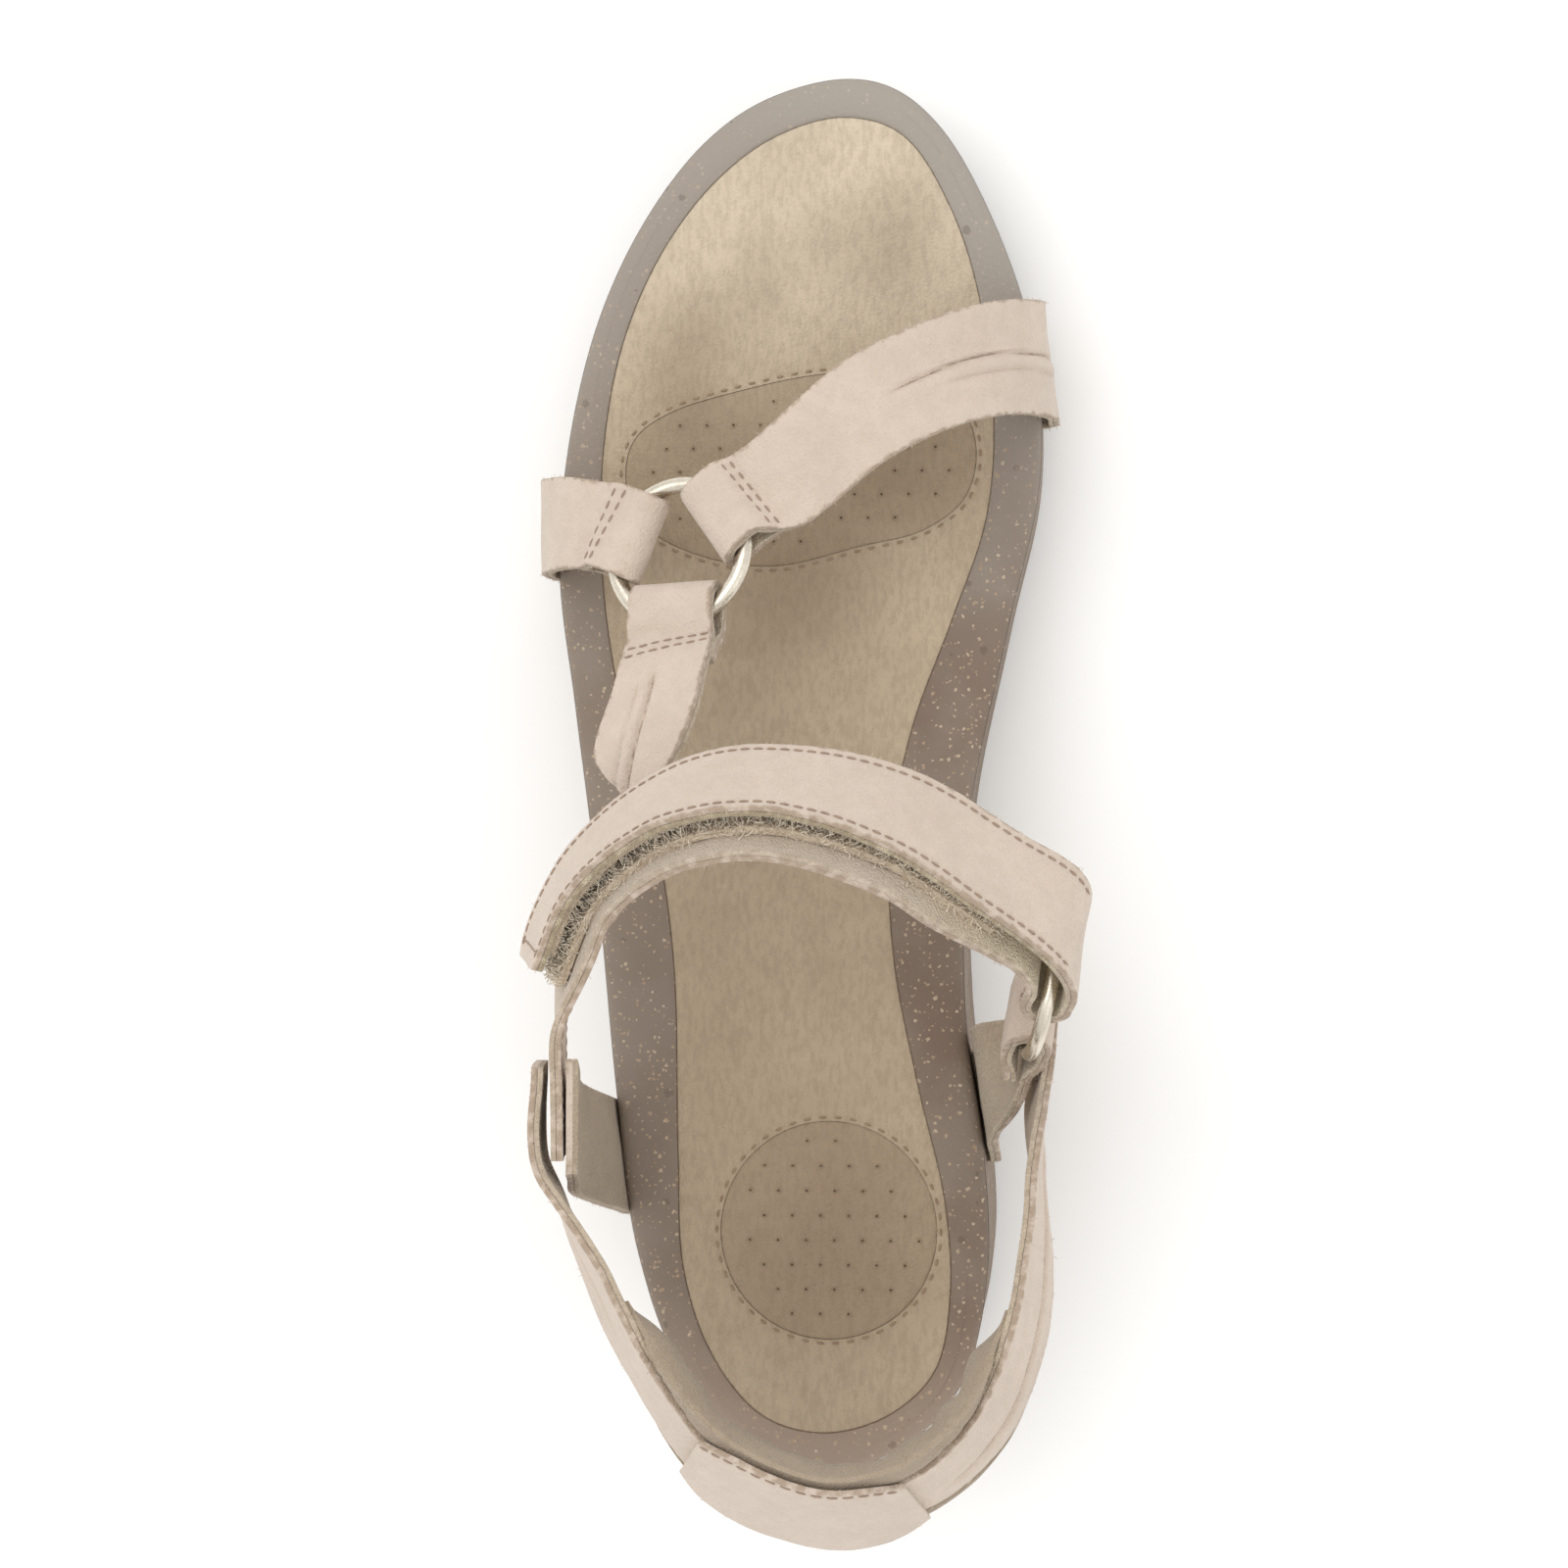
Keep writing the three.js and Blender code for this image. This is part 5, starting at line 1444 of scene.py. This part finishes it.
strap("medial_quarter", medial_run, relief=relief_of(rows=medial_seams), seams=medial_seams)

quarter_rows = []
for up in (9, 1, -7):
    place_up = SEAM_CENTRE + SEAM_UP * up - SEAM_OUT * (STRAP + GAP + 0.3) + SEAM_FORWARD * (up / 3 - 4)
    quarter_rows.append((place_up, SEAM_FORWARD, QUARTER_WIDTH - 1))
lateral_run = through(quarter_rows + anchor_rows(-1, -77.5, QUARTER_WIDTH, 0.15))
lateral_pleat = [(8, 1.5), (22, 3.0), (38, 3.5)]
strap("lateral_quarter", lateral_run, relief=relief_of([(lateral_pleat, 0.35)]))

# ------------------------------------------------------------------ heel strap
# A strap goes round behind the ankle from the outer seam to the inner one, where its ends are sewn to the
# quarters with play enough to fold down a little.
HEEL_STRAP_WIDTH = 21
fold_across = unit(np.cross(FOLD_HEADING, MEDIAL_RING.normal))
medial_seam = MEDIAL_RING.centre - FOLD_HEADING * (MEDIAL_RING.radius + MEDIAL_RING.wire + 11)
medial_rise = PINCHED + STRAP + SEAM_PLAY


def medial_row(back, width):
    return (medial_seam - fold_across * back + MEDIAL_RING.normal * medial_rise, -FOLD_HEADING, width)


heel_run = through(
    [
        seam_row(8, STRAP + SEAM_PLAY, HEEL_STRAP_WIDTH - 3),
        seam_row(-9, STRAP + SEAM_PLAY, HEEL_STRAP_WIDTH),
        ((-42.4, -80, 95.5), (-0.15, 0, -0.99), HEEL_STRAP_WIDTH),
        ((-36.5, -91, 98), (-0.27, -0.1, -0.95), HEEL_STRAP_WIDTH),
        ((-26.5, -110, 101.5), (-0.27, -0.25, -0.93), HEEL_STRAP_WIDTH),
        ((-12.5, -127, 104), (-0.22, -0.4, -0.89), HEEL_STRAP_WIDTH),
        ((8.5, -134.6, 105), (0, -0.45, -0.89), HEEL_STRAP_WIDTH),
        ((24.5, -130.5, 103), (0.16, -0.38, -0.91), HEEL_STRAP_WIDTH),
        ((36, -120, 99.5), (0.25, -0.3, -0.92), HEEL_STRAP_WIDTH),
        ((42.6, -105, 94), (0.27, -0.18, -0.94), HEEL_STRAP_WIDTH),
        ((44.6, -90, 87), (0.18, -0.28, -0.94), HEEL_STRAP_WIDTH),
        ((44.6, -76, 79.5), (0.02, -0.45, -0.89), HEEL_STRAP_WIDTH),
        medial_row(7, HEEL_STRAP_WIDTH - 4),
        medial_row(-5, HEEL_STRAP_WIDTH - 7),
    ]
)
heel_length = lengths(heel_run)[-1]
heel_pleat = [(124, 4.5), (146, 4.0), (163, 3.0), (188, 2.0), (heel_length - 12, 1.0)]
outer_pleat = [(30, 1.0), (42, 0.5), (58, -0.5)]
heel_seams = [cross_row(heel_run, d, 2.2) for d in (3.5, 5.7, 14.5)]
heel_seams += [cross_row(heel_run, heel_length - d, 2.2) for d in (3.2, 5.2)]
heel_pieces = strap(
    "heel_strap",
    heel_run,
    None,
    relief_of([(heel_pleat, 0.6), (outer_pleat, 0.3)], heel_seams),
    heel_seams,
)

# ------------------------------------------------------------------ heel collar
# Behind the heel the strap is padded: foam under a smooth suede-faced lining whose borders roll outwards
# over the strap's edges, and outside a plain cover of the same nubuck, sewn on along its top edge.
COLLAR_HEIGHT = 36
COLLAR_PAD_THICKNESS = 3.6
COLLAR_ROLL = 1.9
COVER_STITCH = Stitch(2.8, 2.1, 0.5)
COLLAR_MIDDLE = heel_length * 0.475


def collar_run(middle, half_length, end_share):
    """The collar's stations, tallest behind the heel and tapering to its ends."""

    def wider(run):
        t = np.minimum(np.abs(run - middle) / half_length, 1)
        return (COLLAR_HEIGHT - HEEL_STRAP_WIDTH) * (1 - (1 - end_share) * t * t)

    return cut(shifted(heel_run, wider=wider), middle - half_length, middle + half_length)


def cushion_mesh(name, run, face, thickness, rows=26, wrinkle=0.0, roll=0.0):
    """A crowned pad whose flat face lies at a level and whose other face swells inwards, pulled thin all
    round its edge. A roll makes its borders, past the strap's edges, curl outwards."""
    at = lengths(run)
    n = outward(run)
    across = np.linspace(1, -1, rows)
    end = np.minimum(at, at[-1] - at)
    points, marks = [], []
    for side in (1, -1):
        for share in across if side > 0 else across[::-1]:
            middle = run.p + run.a * (run.w / 2 * share)[:, None]
            swell_in = (1 - abs(share) ** 3.2) * ease(end / 11) ** 0.7
            folds = np.array([noise.noise(Vector((v * 0.16, share * 0.8, 3))) for v in at])
            depth = thickness * (0.16 + 0.84 * swell_in) * (1 + wrinkle * folds * swell_in)
            past_strap = ease((run.w / 2 * abs(share) - HEEL_STRAP_WIDTH / 2 - 0.4) / 1.8) * ease(end / 11)
            border = float(ease((abs(share) - 0.82) / 0.18))
            curl = roll * past_strap
            level = face + curl * (1 - 0.4 * border) if side > 0 else face - depth + 0.6 * curl * border
            points.append(middle + n * (level + sway(middle))[:, None])
            marks.append(np.full(len(at), max(0, abs(share) * 6 - 5)))
    flat = np.stack(points, 1).reshape(-1, 3)
    mesh = mesh_of(name, flat, skin(len(at), len(points), "capped"), weld=False)
    mark(mesh, "edge", np.stack(marks, 1))
    return mesh


collar_suede = nubuck(
    "collar_suede", shade(164, 147, 126), shade(148, 130, 109), shade(168, 151, 130), nap=0.7
)
inside = -STRAP / 2 - GAP
pad_run = collar_run(COLLAR_MIDDLE, 52, -0.35)
pad_run = Run(pad_run.p, pad_run.a, pad_run.w - 2)  # so that the lining closes round it
pad_mesh = cushion_mesh("collar_foam", pad_run, inside + 0.25, COLLAR_PAD_THICKNESS, roll=COLLAR_ROLL)
collar_pad = add_piece("collar_foam", pad_mesh, soft_foam, None, ["collar_pad"])
lining_run = collar_run(COLLAR_MIDDLE, 56, -0.2)
lining_thickness = COLLAR_PAD_THICKNESS + LEATHER + 2 * GAP
lining_mesh = cushion_mesh(
    "collar_lining_suede", lining_run, inside + 0.27, lining_thickness, 44, 0.35, COLLAR_ROLL
)
collar_face = add_piece(
    "collar_lining_suede", lining_mesh, collar_suede, None, ["collar_lining"]
)

cover_run = collar_run(COLLAR_MIDDLE - 5, 21, 0.72)
to_end = lengths(cover_run)
to_end = np.minimum(to_end, to_end[-1] - to_end)
cover_run = Run(cover_run.p, cover_run.a, cover_run.w * (0.8 + 0.2 * np.sqrt(ease(to_end / 9))))
cover_face = STRAP / 2 + 0.03
cover_seams = [edge_row(cover_run, -1, 1.5, lengths(cover_run)[-1] - 1, 1.3)]
cover_relief = relief_of(rows=cover_seams)
cover_mesh = strap_mesh(
    "collar_cover_leather", cover_run, cover_face, cover_face + LEATHER, cover_relief, corner=0.4
)
collar_cover = add_piece(
    "collar_cover_leather", cover_mesh, strap_nubuck, None, ["collar_cover"]
)
cover_level = cover_face + LEATHER - SEWING_DEPTH
cover_paths = [point_path(cover_run, marks, cover_level) for marks in cover_seams]
cover_sewing = sewn(
    "collar_cover_stitching", cover_paths, upper_thread, None, COVER_STITCH
)
cover_fray = fuzz("collar_cover_fray", cover_mesh, 0.5, 0.7, None, "strap_leather", raw_hide, seed=8)

# the heel strap and collar pieces, whose ends lie on the seams, have their placing baked into their meshes
for soft_piece in (*heel_pieces, collar_pad, collar_face, collar_cover, cover_sewing, cover_fray):
    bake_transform(soft_piece)

# ------------------------------------------------------------------ floor, light and camera
# The sandal stands on a plain pale floor under broad soft light, and is seen from straight above the
# inner side of the foot.
floor_paper = two_tone("floor_paper", shade(253, 253, 252), shade(251, 251, 250), 3.0, roughness=0.95)
half = 3000
corners = [(-half, -half, 0), (half, -half, 0), (half, half, 0), (-half, half, 0)]
floor_mesh = mesh_of("floor", corners, [(0, 1, 2, 3)])
floor_mesh.materials.append(floor_paper)
put_in_scene("floor", floor_mesh)

world = bpy.data.worlds.new("studio")
bpy.context.scene.world = world
world.use_nodes = True
world.node_tree.nodes["Background"].inputs["Color"].default_value = (1.0, 0.992, 0.982, 1.0)
world.node_tree.nodes["Background"].inputs["Strength"].default_value = 0.98


def soft_light(name, place, size, power, colour):
    """A broad area light that faces the sandal."""
    lamp = bpy.data.lights.new(name, "AREA")
    lamp.shape = "SQUARE"
    lamp.size = size
    lamp.energy = power
    lamp.color = colour
    holder = put_in_scene(name, lamp)
    holder.location = place
    holder.rotation_mode = "QUATERNION"
    holder.rotation_quaternion = (Vector((0, 0, 0.05)) - Vector(place)).to_track_quat("-Z", "Y")


soft_light("key", (-0.5, 0.4, 1.5), 1.4, 9, (1, 0.995, 0.985))
soft_light("fill", (1.0, -0.6, 1.2), 1.4, 3, (0.985, 0.992, 1))
bpy.context.scene.view_settings.view_transform = "Standard"
bpy.context.scene.view_settings.look = "None"

camera_data = bpy.data.cameras.new("camera")
camera_data.sensor_width = 36
camera_data.lens = 83
camera = put_in_scene("camera", camera_data)
camera.location = (0.0548, -0.007, 0.75)
camera.rotation_mode = "QUATERNION"
back = (camera.location - Vector((-0.0045, -0.0045, 0.055))).normalized()
right = Vector((0, 1, 0)).cross(back).normalized()
camera.rotation_quaternion = Matrix((right, back.cross(right), back)).transposed().to_quaternion()
bpy.context.scene.camera = camera
